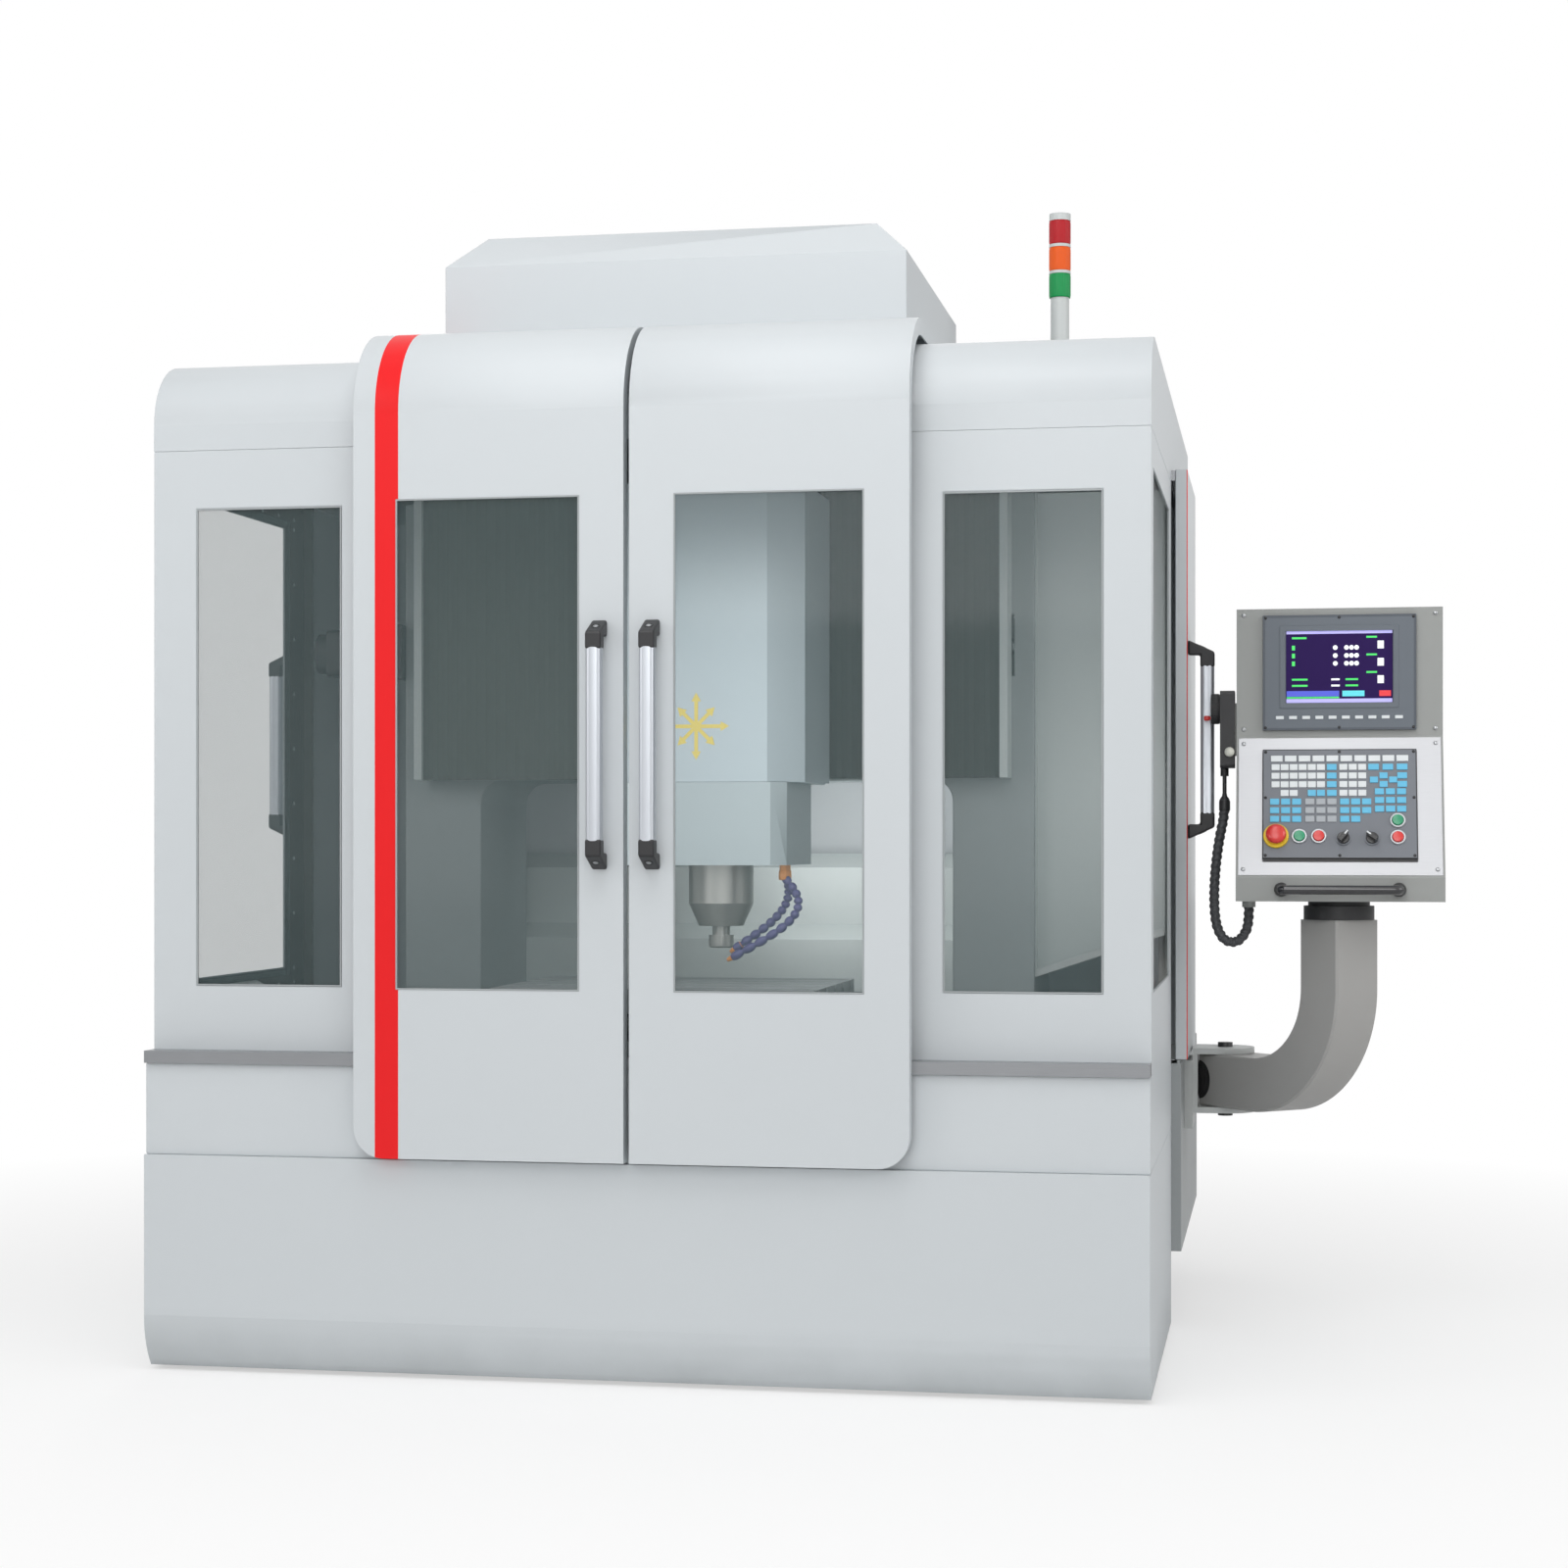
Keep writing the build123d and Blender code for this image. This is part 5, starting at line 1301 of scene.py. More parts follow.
@dataclass
class Cabin:
    """Sheet-metal cabin: skirt, band, panels, roof, housing, boxes and rear cabinet."""

    window_low: float = 0.695
    window_high: float = 1.558
    side_window_high: float = 1.600
    front_window: tuple[float, float] = (0.543, 0.818)
    side_window: tuple[float, float] = (-0.765, -0.165)
    wall_face: float = 0.9
    wall_inside: float = 0.897
    floor_centre: tuple[float, float] = (0.776, 0.1585)
    floor_size: Point = (0.262, 0.421, 0.002)
    floor_edge: float = 0.0003
    rivet_inset: float = 0.03
    rivet_above: float = 0.02
    rivet_behind: float = 0.05
    rivet_row: int = 8
    rivet_post: int = 9
    rivet_sides: int = 12
    rivet: Profile = ((0.0040, -0.0004), (0.0040, 0.0006), (0.0028, 0.0016), (0.0004, 0.0020))

    def build(self) -> None:
        """Dresses the cabin's sheets and adds window seals, rivets and floor sheets."""
        dress(SKIRT, "base_skirt", edge=0.003)
        dress(CABIN, "lower_band", "roof_cover", "top_housing", edge=0.002)
        # The panels' inside faces carry painted shade.
        dress(SHADED_WALL, "front_panels", edge=0.002)
        dress(SHADED_WALL, "side_panels", edge=0.0015)
        dress(CABIN, "rear_cabinet", edge=0.0015)
        dress(BOX_GREY, "side_boxes", edge=0.002)
        dress(RAIL_METAL, "door_guide_rails")
        dress(PANE, "fixed_windows")
        dress(BLACK, "foot_plates")
        for label, side in (("left", -1.0), ("right", 1.0)):
            self._seals(label, side)
            self._rivets(label, side)
            self._floor_sheet(label, side)

    @staticmethod
    def _wall(face: float, side: float) -> Axes:
        """A frame on a face of one side wall, out to the given side."""
        return Axes((face, 0.0, 0.0), (0.0, side, 0.0), (0.0, 0.0, 1.0), (side, 0.0, 0.0))

    def _seals(self, label: str, side: float) -> None:
        """Rubber strips round the front and side windows of one side.

        Args:
            label: Name of the side.
            side: Minus one on the left, one on the right.
        """
        front = front_axes((0.0, float(low_of("front_panels")[1]), 0.0))
        near, far = sorted(side * edge for edge in self.front_window)
        opening = (near, self.window_low, far, self.window_high)
        window_seal(f"{label}_front_gasket", front, opening, "machine")
        wall = self._wall(side * self.wall_face, side)
        near, far = sorted(side * edge for edge in self.side_window)
        opening = (near, self.window_low, far, self.side_window_high)
        window_seal(f"{label}_side_gasket", wall, opening, "machine")

    def _floor_sheet(self, label: str, side: float) -> None:
        """The sheet that closes the side box's top behind the trays.

        Args:
            label: Name of the side.
            side: Minus one on the left, one on the right.
        """
        across, back = self.floor_centre
        level = Axes((side * across, back, float(high_of("side_boxes")[2])))
        middle = [(0.0, 0.0, 0.0)]
        name = f"{label}_floor_sheet"
        blocks(name, level, middle, self.floor_size, BOX_GREY, "machine", self.floor_edge)

    def _rivets(self, label: str, side: float) -> None:
        """Small rivet heads along the wall inside, above, below and behind the side window.

        Args:
            label: Name of the side.
            side: Minus one on the left, one on the right.
        """
        wall = self._wall(side * self.wall_inside, -side)
        low, high = self.window_low, self.side_window_high
        near, far = self.side_window[0] + self.rivet_inset, self.side_window[1] + self.rivet_behind
        heights = (low - self.rivet_inset, high + self.rivet_above)
        row = np.linspace(near, far, self.rivet_row)
        spots = [(-side * y, z, 0.0) for y in row for z in heights]
        spots += [(-side * far, z, 0.0) for z in np.linspace(low, high, self.rivet_post)]
        name = f"{label}_wall_rivets"
        lathed(name, wall, self.rivet, SCREW, "machine", spots, self.rivet_sides)


@dataclass
class FrontDoor:
    """An arched sliding door with its window, seal and bow handle."""

    label: str
    side: float
    finish: Finish
    handle_x: float = 0.047
    handle_low: float = 0.906
    handle_high: float = 1.341
    window: Rect = (0.084, 0.695, 0.417, 1.558)

    def build(self) -> None:
        """Dresses the panel and pane, and adds the seal and the handle."""
        body = f"{self.label}_door"
        panel = f"{body}_panel"
        dress(self.finish, panel, edge=0.002)
        dress(PANE, f"{body}_window")
        face = float(low_of(panel)[1])
        near, far = sorted((self.side * self.window[0], self.side * self.window[2]))
        opening = (near, self.window[1], far, self.window[3])
        window_seal(f"{body}_gasket", front_axes((0.0, face, 0.0)), opening, body)
        BowHandle(
            name=f"{body}_handle",
            body=body,
            origin=(self.side * self.handle_x, face, 0.0),
            outward=(0.0, -1.0, 0.0),
            sideways=(-1.0, 0.0, 0.0),
            low=self.handle_low,
            high=self.handle_high,
        ).build()


@dataclass
class SideDoor:
    """A sliding door of the rear part, with a bow handle near its front edge."""

    label: str
    side: float
    finish: Finish
    handle_y: float = -0.020
    handle_low: float = 0.960
    handle_high: float = 1.355

    def build(self) -> None:
        """Dresses the door and adds its handle."""
        body = f"{self.label}_side_door"
        dress(self.finish, body, edge=0.002)
        face = self.side * float(high_of("right_side_door")[0])
        BowHandle(
            name=f"{body}_handle",
            body=body,
            origin=(face, self.handle_y, 0.0),
            outward=(self.side, 0.0, 0.0),
            sideways=(0.0, -self.side, 0.0),
            low=self.handle_low,
            high=self.handle_high,
        ).build()


@dataclass
class StackLight:
    """Signal column on the roof: pale stem and three ribbed lenses."""

    lens_dia: float = 0.044
    lens_tall: float = 0.048
    pitch: float = 0.054
    ribs: int = 36
    rib_depth: float = 0.0007
    rib_fade: float = 0.005

    def build(self) -> None:
        """Dresses the stem and turns the lenses, whose radius swells and dips with each rib."""
        dress(LAMP_BODY, "stack_light_base")
        low, high = low_of("stack_light_lenses"), high_of("stack_light_lenses")
        centre = (low + high) / 2
        tiers = (("green", LAMP_GREEN), ("amber", LAMP_AMBER), ("red", LAMP_RED))
        for tier, (colour, finish) in enumerate(tiers):
            base = np.array([centre[0], centre[1], low[2] + tier * self.pitch])
            points, faces = self._lens()
            lens = mesh_piece(f"{colour}_lens", base + points, faces, finish, "machine")
            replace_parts(lens, "stack_light_lenses")

    def _lens(self) -> Shape:
        """One lens: a drum with upright ribs, from one ring to the next.

        Returns:
            Its points from the middle of its foot, and its faces.
        """
        sides, tall, fade = self.ribs * RIB_STEPS, self.lens_tall, self.rib_fade
        height = np.array([0.0, fade / 2, fade, tall - fade, tall - fade / 2, tall])
        swell = np.array([0.0, 0.5, 1.0, 1.0, 0.5, 0.0])
        wave = rib_wave(self.ribs)
        radius = self.lens_dia / 2 - self.rib_depth * (1.0 - swell[:, None] * wave[None])
        return rings(radius, height, sides).reshape(-1, 3), tube_faces(len(height), sides)


@dataclass
class PleatedCover:
    """A pleated way cover between the machine and a moving slide."""

    name: str
    node: str
    moving: str
    axes: Axes
    start: float
    finish_at: float
    back: float
    front: float
    width: tuple[float, float]
    cloth: Finish = PLEATS
    pitch: float = 0.020
    fold_depth: float = 0.002
    fold_power: float = 0.85
    fold_steps: int = 8
    fewest: int = 3

    def build(self) -> None:
        """Makes the zigzag sheet with a flat back."""
        count = max(self.fewest, round(abs(self.finish_at - self.start) / self.pitch))
        steps = count * self.fold_steps + 1
        along = np.linspace(self.start, self.finish_at, steps)
        fold = np.abs(np.linspace(0.0, 2.0 * count, steps) % 2.0 - 1.0)
        height = self.front - self.fold_depth * (1.0 - fold**self.fold_power)
        flat_back = [[along[-1], self.back], [along[0], self.back]]
        outline = np.concatenate([np.stack([along, height], -1), flat_back])
        if self.start < self.finish_at:
            outline = outline[::-1]
        points, faces = extruded(outline, *self.width)
        place = self.axes.place
        cover = mesh_piece(self.name, place(points), faces, self.cloth, None, smooth=False)
        middle = sum(self.width) / 2
        tuple(place([self.start, self.back, middle]))
        tuple(place([self.finish_at, self.back, middle]))
        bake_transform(cover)
        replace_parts(cover, self.node)


@dataclass
class GantryMachine:
    """The machine inside the cabin: bed, gantry, slides, covers, table, trays and splash sheet."""

    rest_left: float = -0.06
    rest_right: float = 0.18
    rest_front: float = -0.605
    rest_rear: float = -0.375
    sheet_span: tuple[float, float] = (0.640, 0.8917)
    sheet_feet: tuple[float, float] = (0.690, 0.774)
    sheet_top: float = 1.640
    sheet_back: float = -0.125
    sheet_thick: float = 0.003
    sheet_edge: float = 0.0006
    flange: float = 0.022
    lip_tall: float = 0.014

    def build(self) -> None:
        """Dresses the machine's nodes and makes the pleated covers and the splash sheet."""
        dress(CASTING, "machine_bed", "gantry_casting", edge=0.003)
        dress(CASTING, "saddle_plate", edge=0.002)
        dress(STEEL, "linear_guide_rails", "x_ball_screw", "y_ball_screw", "z_ball_screw")
        dress(MOTOR, "servo_motors", "z_servo_motor")
        dress(PALE, "bellows_end_plates", "chip_trays", edge=0.0008)
        dress(IRON, "t_slot_table", edge=0.001)
        self._x_covers()
        self._y_covers()
        self._splash_sheet()

    def _splash_sheet(self) -> None:
        """The pale sheet between the gantry's right foot and the cabin wall, with folded edges."""
        near, far = self.sheet_span
        low_near, low_far = self.sheet_feet
        top, thick, flange = self.sheet_top, self.sheet_thick, self.flange

        def foot(tall: float) -> Profile:
            """A strip of a height along the sheet's sloping foot."""
            high_far, high_near = (far, low_far + tall), (near, low_near + tall)
            return ((near, low_near), (far, low_far), high_far, high_near)

        sheet = ((near, low_near), (far, low_far), (far, top), (near, top))
        side = ((near, low_near), (near + thick, low_near), (near + thick, top), (near, top))
        rows = (
            ("splash_sheet", sheet, (0.0, thick), PALE),
            ("splash_flange", side, (thick, flange), PALE),
            ("splash_hem", foot(thick), (thick, flange), PALE),
            ("splash_lip", foot(self.lip_tall), (flange, flange + thick), LAMP_BODY),
        )
        upright = front_axes((0.0, self.sheet_back, 0.0))
        for name, outline, depth, finish in rows:
            prism(name, upright, outline, depth, finish, "machine", self.sheet_edge)

    def _x_covers(self) -> None:
        """The two upright covers beside the head."""
        low, high = low_of("x_bellows").tolist(), high_of("x_bellows").tolist()
        upright = Axes((0.0, 0.0, 0.0), (1.0, 0.0, 0.0), (0.0, -1.0, 0.0), (0.0, 0.0, -1.0))
        rows = (
            ("x_cover_left", low[0], self.rest_left, PLEATS),
            # The right cover takes the darker copy of the fabric: painted shade.
            ("x_cover_right", high[0], self.rest_right, SHADED_PLEATS),
        )
        for name, fixed, moving, cloth in rows:
            PleatedCover(
                name=name,
                node="x_bellows",
                moving="x_saddle",
                axes=upright,
                start=fixed,
                finish_at=moving,
                back=-high[1],
                front=-low[1],
                width=(-high[2], -low[2]),
                cloth=cloth,
            ).build()

    def _y_covers(self) -> None:
        """The two level covers before and behind the table's carriage."""
        low, high = low_of("y_bellows").tolist(), high_of("y_bellows").tolist()
        level = Axes((0.0, 0.0, 0.0), (0.0, 1.0, 0.0), (0.0, 0.0, 1.0), (1.0, 0.0, 0.0))
        rows = (
            ("y_cover_front", low[1], self.rest_front),
            ("y_cover_rear", high[1], self.rest_rear),
        )
        for name, fixed, moving in rows:
            PleatedCover(
                name=name,
                node="y_bellows",
                moving="y_table",
                axes=level,
                start=fixed,
                finish_at=moving,
                back=low[2],
                front=high[2],
                width=(low[0], high[0]),
            ).build()


@dataclass
class EngravingHead:
    """Spindle head: cover with an arrow print, casting, spindle, nut and coolant hoses."""

    star_centre: tuple[float, float] = (0.055, 1.168)
    star_reach: float = 0.062
    star_turns: tuple[float, ...] = (0.0, 45.0, 90.0, 135.0)
    star_short: float = 0.8
    arrow_shaft: float = 0.0035
    arrow_head: float = 0.016
    arrow_wide: float = 0.009
    arrow_sink: float = 0.0005
    arrow_lift: float = 0.0002
    arrow_edge: float = 0.0001
    hose_starts: tuple[Point, ...] = ((0.205, -0.503, 0.890), (0.205, -0.477, 0.890))
    hose_tips: tuple[Point, ...] = ((0.105, -0.503, 0.738), (0.105, -0.477, 0.753))
    hose_sides: int = 18
    bulges: tuple[float, float] = (0.078, 0.044)
    bulge_skew: float = 0.3
    bead_dia: float = 0.016
    bead_waist: float = 0.50
    bead_swell: float = 0.56
    bead_power: float = 0.6
    bead_steps: int = 10
    beads: int = 12
    nozzle: Profile = (
        (0.0065, -0.004),
        (0.0078, 0.0),
        (0.0078, 0.004),
        (0.0048, 0.014),
        (0.0034, 0.022),
    )
    nozzle_back: float = 0.014
    fitting: Profile = (
        (0.0075, -0.006),
        (0.0098, -0.004),
        (0.0098, 0.010),
        (0.0082, 0.012),
        (0.0082, 0.0218),
    )
    fitting_sides: int = 6

    def build(self) -> None:
        """Dresses the head's nodes and adds the print and the jointed hoses."""
        dress(HEAD, "head_cover", edge=0.003)
        dress(HEAD_BLOCK, "head_casting", edge=0.003)
        dress(TURNED, "spindle_housing", "spindle_shaft")
        self._arrows()
        hoses = zip(("front", "rear"), self.hose_starts, self.hose_tips, self.bulges)
        for label, start, tip, bulge in hoses:
            self._hose(label, start, tip, bulge)

    def _arrows(self) -> None:
        """Four flat double arrows that cross at one point on the cover's face."""
        across, up = self.star_centre
        front = front_axes((across, float(low_of("head_cover")[1]), up))
        shaft, head, wide = self.arrow_shaft, self.arrow_head, self.arrow_wide
        for number, turn in enumerate(self.star_turns):
            long = self.star_reach * (1.0 if number % 2 == 0 else self.star_short)
            neck = long - head
            half = [(-long, 0.0), (-neck, -wide), (-neck, -shaft), (neck, -shaft), (neck, -wide)]
            outline = np.concatenate([half, -np.array(half)]) @ turned_plane(radians(turn))
            depth = (-self.arrow_sink, self.arrow_lift * (number + 1))
            name = f"arrow_print_{number}"
            prism(name, front, outline, depth, ARROWS, "z_head", self.arrow_edge)

    def _hose(self, label: str, start: Point, tip: Point, bulge: float) -> None:
        """A jointed coolant hose: beads along an arc that bulges outwards, and a nozzle.

        Args:
            label: Name of the hose.
            start: Where it leaves the head.
            tip: Where it ends.
            bulge: How far it bulges to the right.
        """
        share = np.linspace(0.0, 1.0, self.beads * self.bead_steps + 1)
        line = np.asarray(start) * (1 - share[:, None]) + np.asarray(tip) * share[:, None]
        line[:, 0] += bulge * np.sin(pi * share) * (1 - self.bulge_skew * share)
        wave = np.abs(np.sin(share * pi * self.beads)) ** self.bead_power
        radius = self.bead_dia / 2 * (self.bead_waist + self.bead_swell * wave)
        points, faces = swept(line, radius, self.hose_sides)
        hose = mesh_piece(f"{label}_hose_links", points, faces, LINKS, "z_head")
        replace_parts(hose, "coolant_hoses")
        ahead = line[-1] - line[-4]
        ahead /= np.linalg.norm(ahead)
        radius, steps = np.array(self.nozzle).T
        route = line[-1] + (steps[:, None] - self.nozzle_back) * ahead
        points, faces = swept(route, radius, self.hose_sides)
        nozzle = mesh_piece(f"{label}_nozzle", points, faces, NOZZLE, "z_head")
        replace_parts(nozzle, "coolant_hoses")
        name, sides = f"{label}_hose_fitting", self.fitting_sides
        nut = lathed(name, Axes(start), self.fitting, NOZZLE, "z_head", sides=sides)
        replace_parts(nut, "coolant_hoses")


@dataclass
class SwingArm:
    """Bracket, cable boot and bent arm that carry the control panel."""

    pivot: tuple[float, float] = (1.0, 0.175)
    height: float = 0.470
    heading: float = -49.0
    arm_side: float = 0.107
    boot_dia: float = 0.072
    boot_span: tuple[float, float] = (-0.0790, 0.030)
    boot_clear: float = 0.001
    boot_sides: int = 40
    ridge: float = 0.006
    folds: int = 9
    fold_steps: int = 10
    blend_from: int = 8
    blend_to: int = -20
    mouth_back: float = 0.018
    mouth_steps: int = 25
    mouth_edge: float = 0.0004
    mouth_folds: tuple[Point, ...] = (
        (0.034, 0.039, 0.0008),
        (0.025, 0.035, 0.0022),
        (0.015, 0.031, 0.0036),
    )

    def build(self) -> None:
        """Dresses bracket, arm and collar and makes the corrugated boot."""
        dress(BRACKET, "arm_bracket", edge=0.002)
        dress(ARM_GREY, "control_arm")
        dress(BLACK, "arm_collar")
        turn = radians(self.heading)
        ahead = np.array([np.cos(turn), np.sin(turn), 0.0])
        centre = np.array([*self.pivot, self.height])
        reach = np.linspace(*self.boot_span, self.folds * self.fold_steps + 1)
        path = centre + reach[:, None] * ahead
        wave = 0.5 + 0.5 * np.cos(np.linspace(0.0, 2 * pi * self.folds, len(reach)))
        radius = self.boot_dia / 2 - self.boot_clear - self.ridge * wave
        points, faces = swept(path, radius, self.boot_sides)
        boot = mesh_piece("corrugated_boot", points, faces, BOOT, None)
        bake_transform(boot)
        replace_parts(boot, "cable_boot")
        self._boot_mouth(ahead, centre)

    def _boot_mouth(self, ahead: np.ndarray, centre: np.ndarray) -> None:
        """The rounded mouth at the arm's root, filled by the boot's dark folds.

        Args:
            ahead: Direction of the arm.
            centre: Middle of the pivot.
        """
        side = np.array([ahead[1], -ahead[0], 0.0])
        root = centre - self.mouth_back * ahead + self.arm_side / 2 * side
        axes = Axes(tuple(root), tuple(ahead), (0.0, 0.0, 1.0), tuple(side))
        bend = np.linspace(-pi / 2, pi / 2, self.mouth_steps)
        edge = self.mouth_edge
        for number, (reach, tall, lift) in enumerate(self.mouth_folds):
            outline = np.stack([reach * np.cos(bend), tall * np.sin(bend)], -1)
            name = f"boot_mouth_{number}"
            prism(name, axes, outline, (-edge, lift), BOOT, "control_arm", edge)


class KeyColour(Enum):
    """Colours of the membrane keys, by their finish."""

    WHITE = KEY_WHITE
    CYAN = KEY_CYAN
    GREY = KEY_GREY


@dataclass(frozen=True)
class KeyBlock:
    """Equal keys in columns and rows, from the middle of the first key."""

    colour: KeyColour
    across: float
    down: float
    columns: int
    rows: int
    pitch: float
    wide: float


@dataclass
class ControlPanel:
    """Panel housing with display, keypad, buttons, selectors, screws and grab handle."""

    centre_x: float = 1.2244
    face_y: float = -0.0981
    split_z: float = 1.160
    half_width: float = 0.196
    plate_length: float = 0.289
    plate_margin: float = 0.004
    plate_depth: tuple[float, float] = (-0.0005, 0.0014)
    slope: tuple[float, float] = (0.3287, 0.9445)
    keypad: Rect = (-0.1456, -0.2526, 0.1456, -0.0294)
    keypad_rim: float = 0.0022
    keypad_rim_depth: tuple[float, float] = (0.0, 0.0063)
    sill_size: Point = (0.2912, 0.0052, 0.0044)
    sill_edge: float = 0.0008
    display: Rect = (-0.1456, 1.1714, 0.1456, 1.3946)
    display_rim: float = 0.005
    display_rim_depth: tuple[float, float] = (0.0, 0.0093)
    screen_frame: Rect = (-0.1130, 1.2140, 0.1130, 1.3740)
    screen_rim: float = 0.0105
    screen_rim_depth: tuple[float, float] = (0.0085, 0.0104)
    screen_low: float = 1.224
    screen_high: float = 1.365
    screen_wide: float = 0.2024
    screen_thick: float = 0.0006
    screen_sink: float = 0.006
    screen_edge: float = 0.0001
    field_lift: float = 0.0007
    field_thick: float = 0.0003
    field_edge: float = 0.00005
    value_rows: tuple[float, ...] = (0.1070, 0.0916, 0.0764)
    value_columns: tuple[float, ...] = (-0.0074, 0.0138, 0.0234, 0.0330)
    value_dot: Profile = ((0.0046, 0.0004), (0.0046, 0.0009), (0.0040, 0.0011), (0.0004, 0.0011))
    value_sides: int = 16
    key_lift: float = 0.0068
    key_tall: float = 0.0123
    key_thick: float = 0.0024
    key_pitch: float = 0.0177
    key_edge: float = 0.0006
    key_blocks: tuple[KeyBlock, ...] = (
        KeyBlock(KeyColour.WHITE, -0.1188, 0.0490, 10, 1, 0.0264, 0.0222),
        KeyBlock(KeyColour.WHITE, -0.1210, 0.0667, 6, 3, 0.0172, 0.0152),
        KeyBlock(KeyColour.WHITE, -0.1038, 0.1198, 2, 1, 0.0172, 0.0152),
        KeyBlock(KeyColour.CYAN, -0.0522, 0.1198, 2, 1, 0.0172, 0.0152),
        KeyBlock(KeyColour.CYAN, -0.0145, 0.0667, 1, 4, 0.0172, 0.0182),
        KeyBlock(KeyColour.WHITE, 0.0075, 0.0667, 3, 4, 0.0177, 0.0152),
        KeyBlock(KeyColour.CYAN, 0.0645, 0.0667, 3, 1, 0.0268, 0.0202),
        KeyBlock(KeyColour.CYAN, 0.0650, 0.0930, 2, 1, 0.0360, 0.0152),
        KeyBlock(KeyColour.CYAN, 0.0830, 0.0844, 1, 2, 0.0177, 0.0152),
        KeyBlock(KeyColour.CYAN, 0.1180, 0.0844, 1, 2, 0.0177, 0.0182),
        KeyBlock(KeyColour.CYAN, -0.1227, 0.1375, 3, 3, 0.0208, 0.0172),
        KeyBlock(KeyColour.GREY, -0.0560, 0.1375, 3, 3, 0.0208, 0.0172),
        KeyBlock(KeyColour.CYAN, 0.0096, 0.1375, 2, 3, 0.0206, 0.0172),
        KeyBlock(KeyColour.CYAN, 0.0508, 0.1375, 1, 2, 0.0177, 0.0172),
        KeyBlock(KeyColour.CYAN, 0.0750, 0.1170, 3, 3, 0.0206, 0.0172),
    )
    soft_keys: int = 10
    soft_reach: float = 0.113
    soft_place: tuple[float, float] = (1.196, 0.0100)
    soft_size: Point = (0.0150, 0.0062, 0.0018)
    stop_place: tuple[float, float] = (-0.120, -0.208)
    stop_collar: Profile = (
        (0.0240, 0.0055),
        (0.0240, 0.0112),
        (0.0228, 0.0124),
        (0.0124, 0.0124),
        (0.0124, 0.0055),
    )
    stop_head: Profile = (
        (0.0108, 0.0045),
        (0.0108, 0.0163),
        (0.0150, 0.0166),
        (0.0186, 0.0180),
        (0.0192, 0.0202),
        (0.0190, 0.0235),
        (0.0178, 0.0262),
        (0.0150, 0.0284),
        (0.0096, 0.0297),
        (0.0020, 0.0302),
    )
    button_cap: Profile = (
        (0.0106, 0.0062),
        (0.0106, 0.0120),
        (0.0100, 0.0133),
        (0.0060, 0.0139),
        (0.0010, 0.0140),
    )
    button_ring: Profile = (
        (0.0149, 0.0056),
        (0.0149, 0.0084),
        (0.0138, 0.0096),
        (0.0113, 0.0096),
        (0.0113, 0.0056),
    )
    selectors: tuple[tuple[str, float, float], ...] = (
        ("mode", 0.0067, -38.0),
        ("speed", 0.0606, 52.0),
    )
    selector_up: float = -0.212
    selector_sides: int = 32
    selector_drum: Profile = (
        (0.0118, 0.0062),
        (0.0118, 0.0105),
        (0.0108, 0.0125),
        (0.0020, 0.0128),
    )
    lever: Profile = (
        (-0.0042, -0.0118),
        (0.0042, -0.0118),
        (0.0046, 0.0040),
        (0.0022, 0.0132),
        (-0.0022, 0.0132),
        (-0.0046, 0.0040),
    )
    lever_depth: tuple[float, float] = (0.0115, 0.0252)
    lever_edge: float = 0.0014
    pointer_place: Point = (0.0, 0.0082, 0.0254)
    pointer_size: Point = (0.0030, 0.0092, 0.0008)
    pointer_edge: float = 0.0002
    screw: Profile = (
        (0.0042, -0.0005),
        (0.0042, 0.0008),
        (0.0036, 0.0018),
        (0.0020, 0.0024),
        (0.0004, 0.0026),
    )
    screw_inset: float = 0.014
    screw_top: float = 1.396
    screw_sides: int = 16
    plate_screw_inset: float = 0.016
    plate_screw_rise: float = 0.0012
    small_screw: Profile = (
        (0.0030, -0.0005),
        (0.0030, 0.0008),
        (0.0024, 0.0014),
        (0.0003, 0.0016),
    )
    small_sides: int = 14
    display_screws: Point = (0.1405, 1.1765, 1.3895)
    display_screw_rise: float = 0.0088
    keypad_screws: tuple[float, ...] = (0.1400, 0.0350, 0.2465, 0.1290)
    keypad_screw_rise: float = 0.0058
    grab_bend: float = 0.012
    grab_steps: int = 90
    grab_sides: int = 24
    grab_swell: float = 1.12
    ferrule: Profile = (
        (0.0135, -0.001),
        (0.0135, 0.006),
        (0.0122, 0.010),
        (0.0105, 0.024),
        (0.0092, 0.028),
    )
    ferrule_sides: int = 32
    body: str = "control_panel"
    tilted: Axes = field(init=False)
    upright: Axes = field(init=False)

    def __post_init__(self) -> None:
        """Sets up the frames of the leaning plate and of the upright face."""
        lean, rise = self.slope
        origin = (self.centre_x, self.face_y, self.split_z)
        self.tilted = Axes(origin, (1.0, 0.0, 0.0), (0.0, lean, rise), (0.0, -rise, lean))
        self.upright = front_axes((self.centre_x, self.face_y, 0.0))

    def build(self) -> None:
        """Dresses the panel's nodes and adds plates, keys, screen, buttons and screws."""
        dress(PANEL_GREY, "panel_housing")
        dress(BEZEL, "display_unit", edge=0.0008)
        dress(KEYPAD, "keypad_unit")
        self._grab()
        self._plate()
        self._keys()
        self._screen()
        self._buttons()
        self._selectors()
        self._screws()

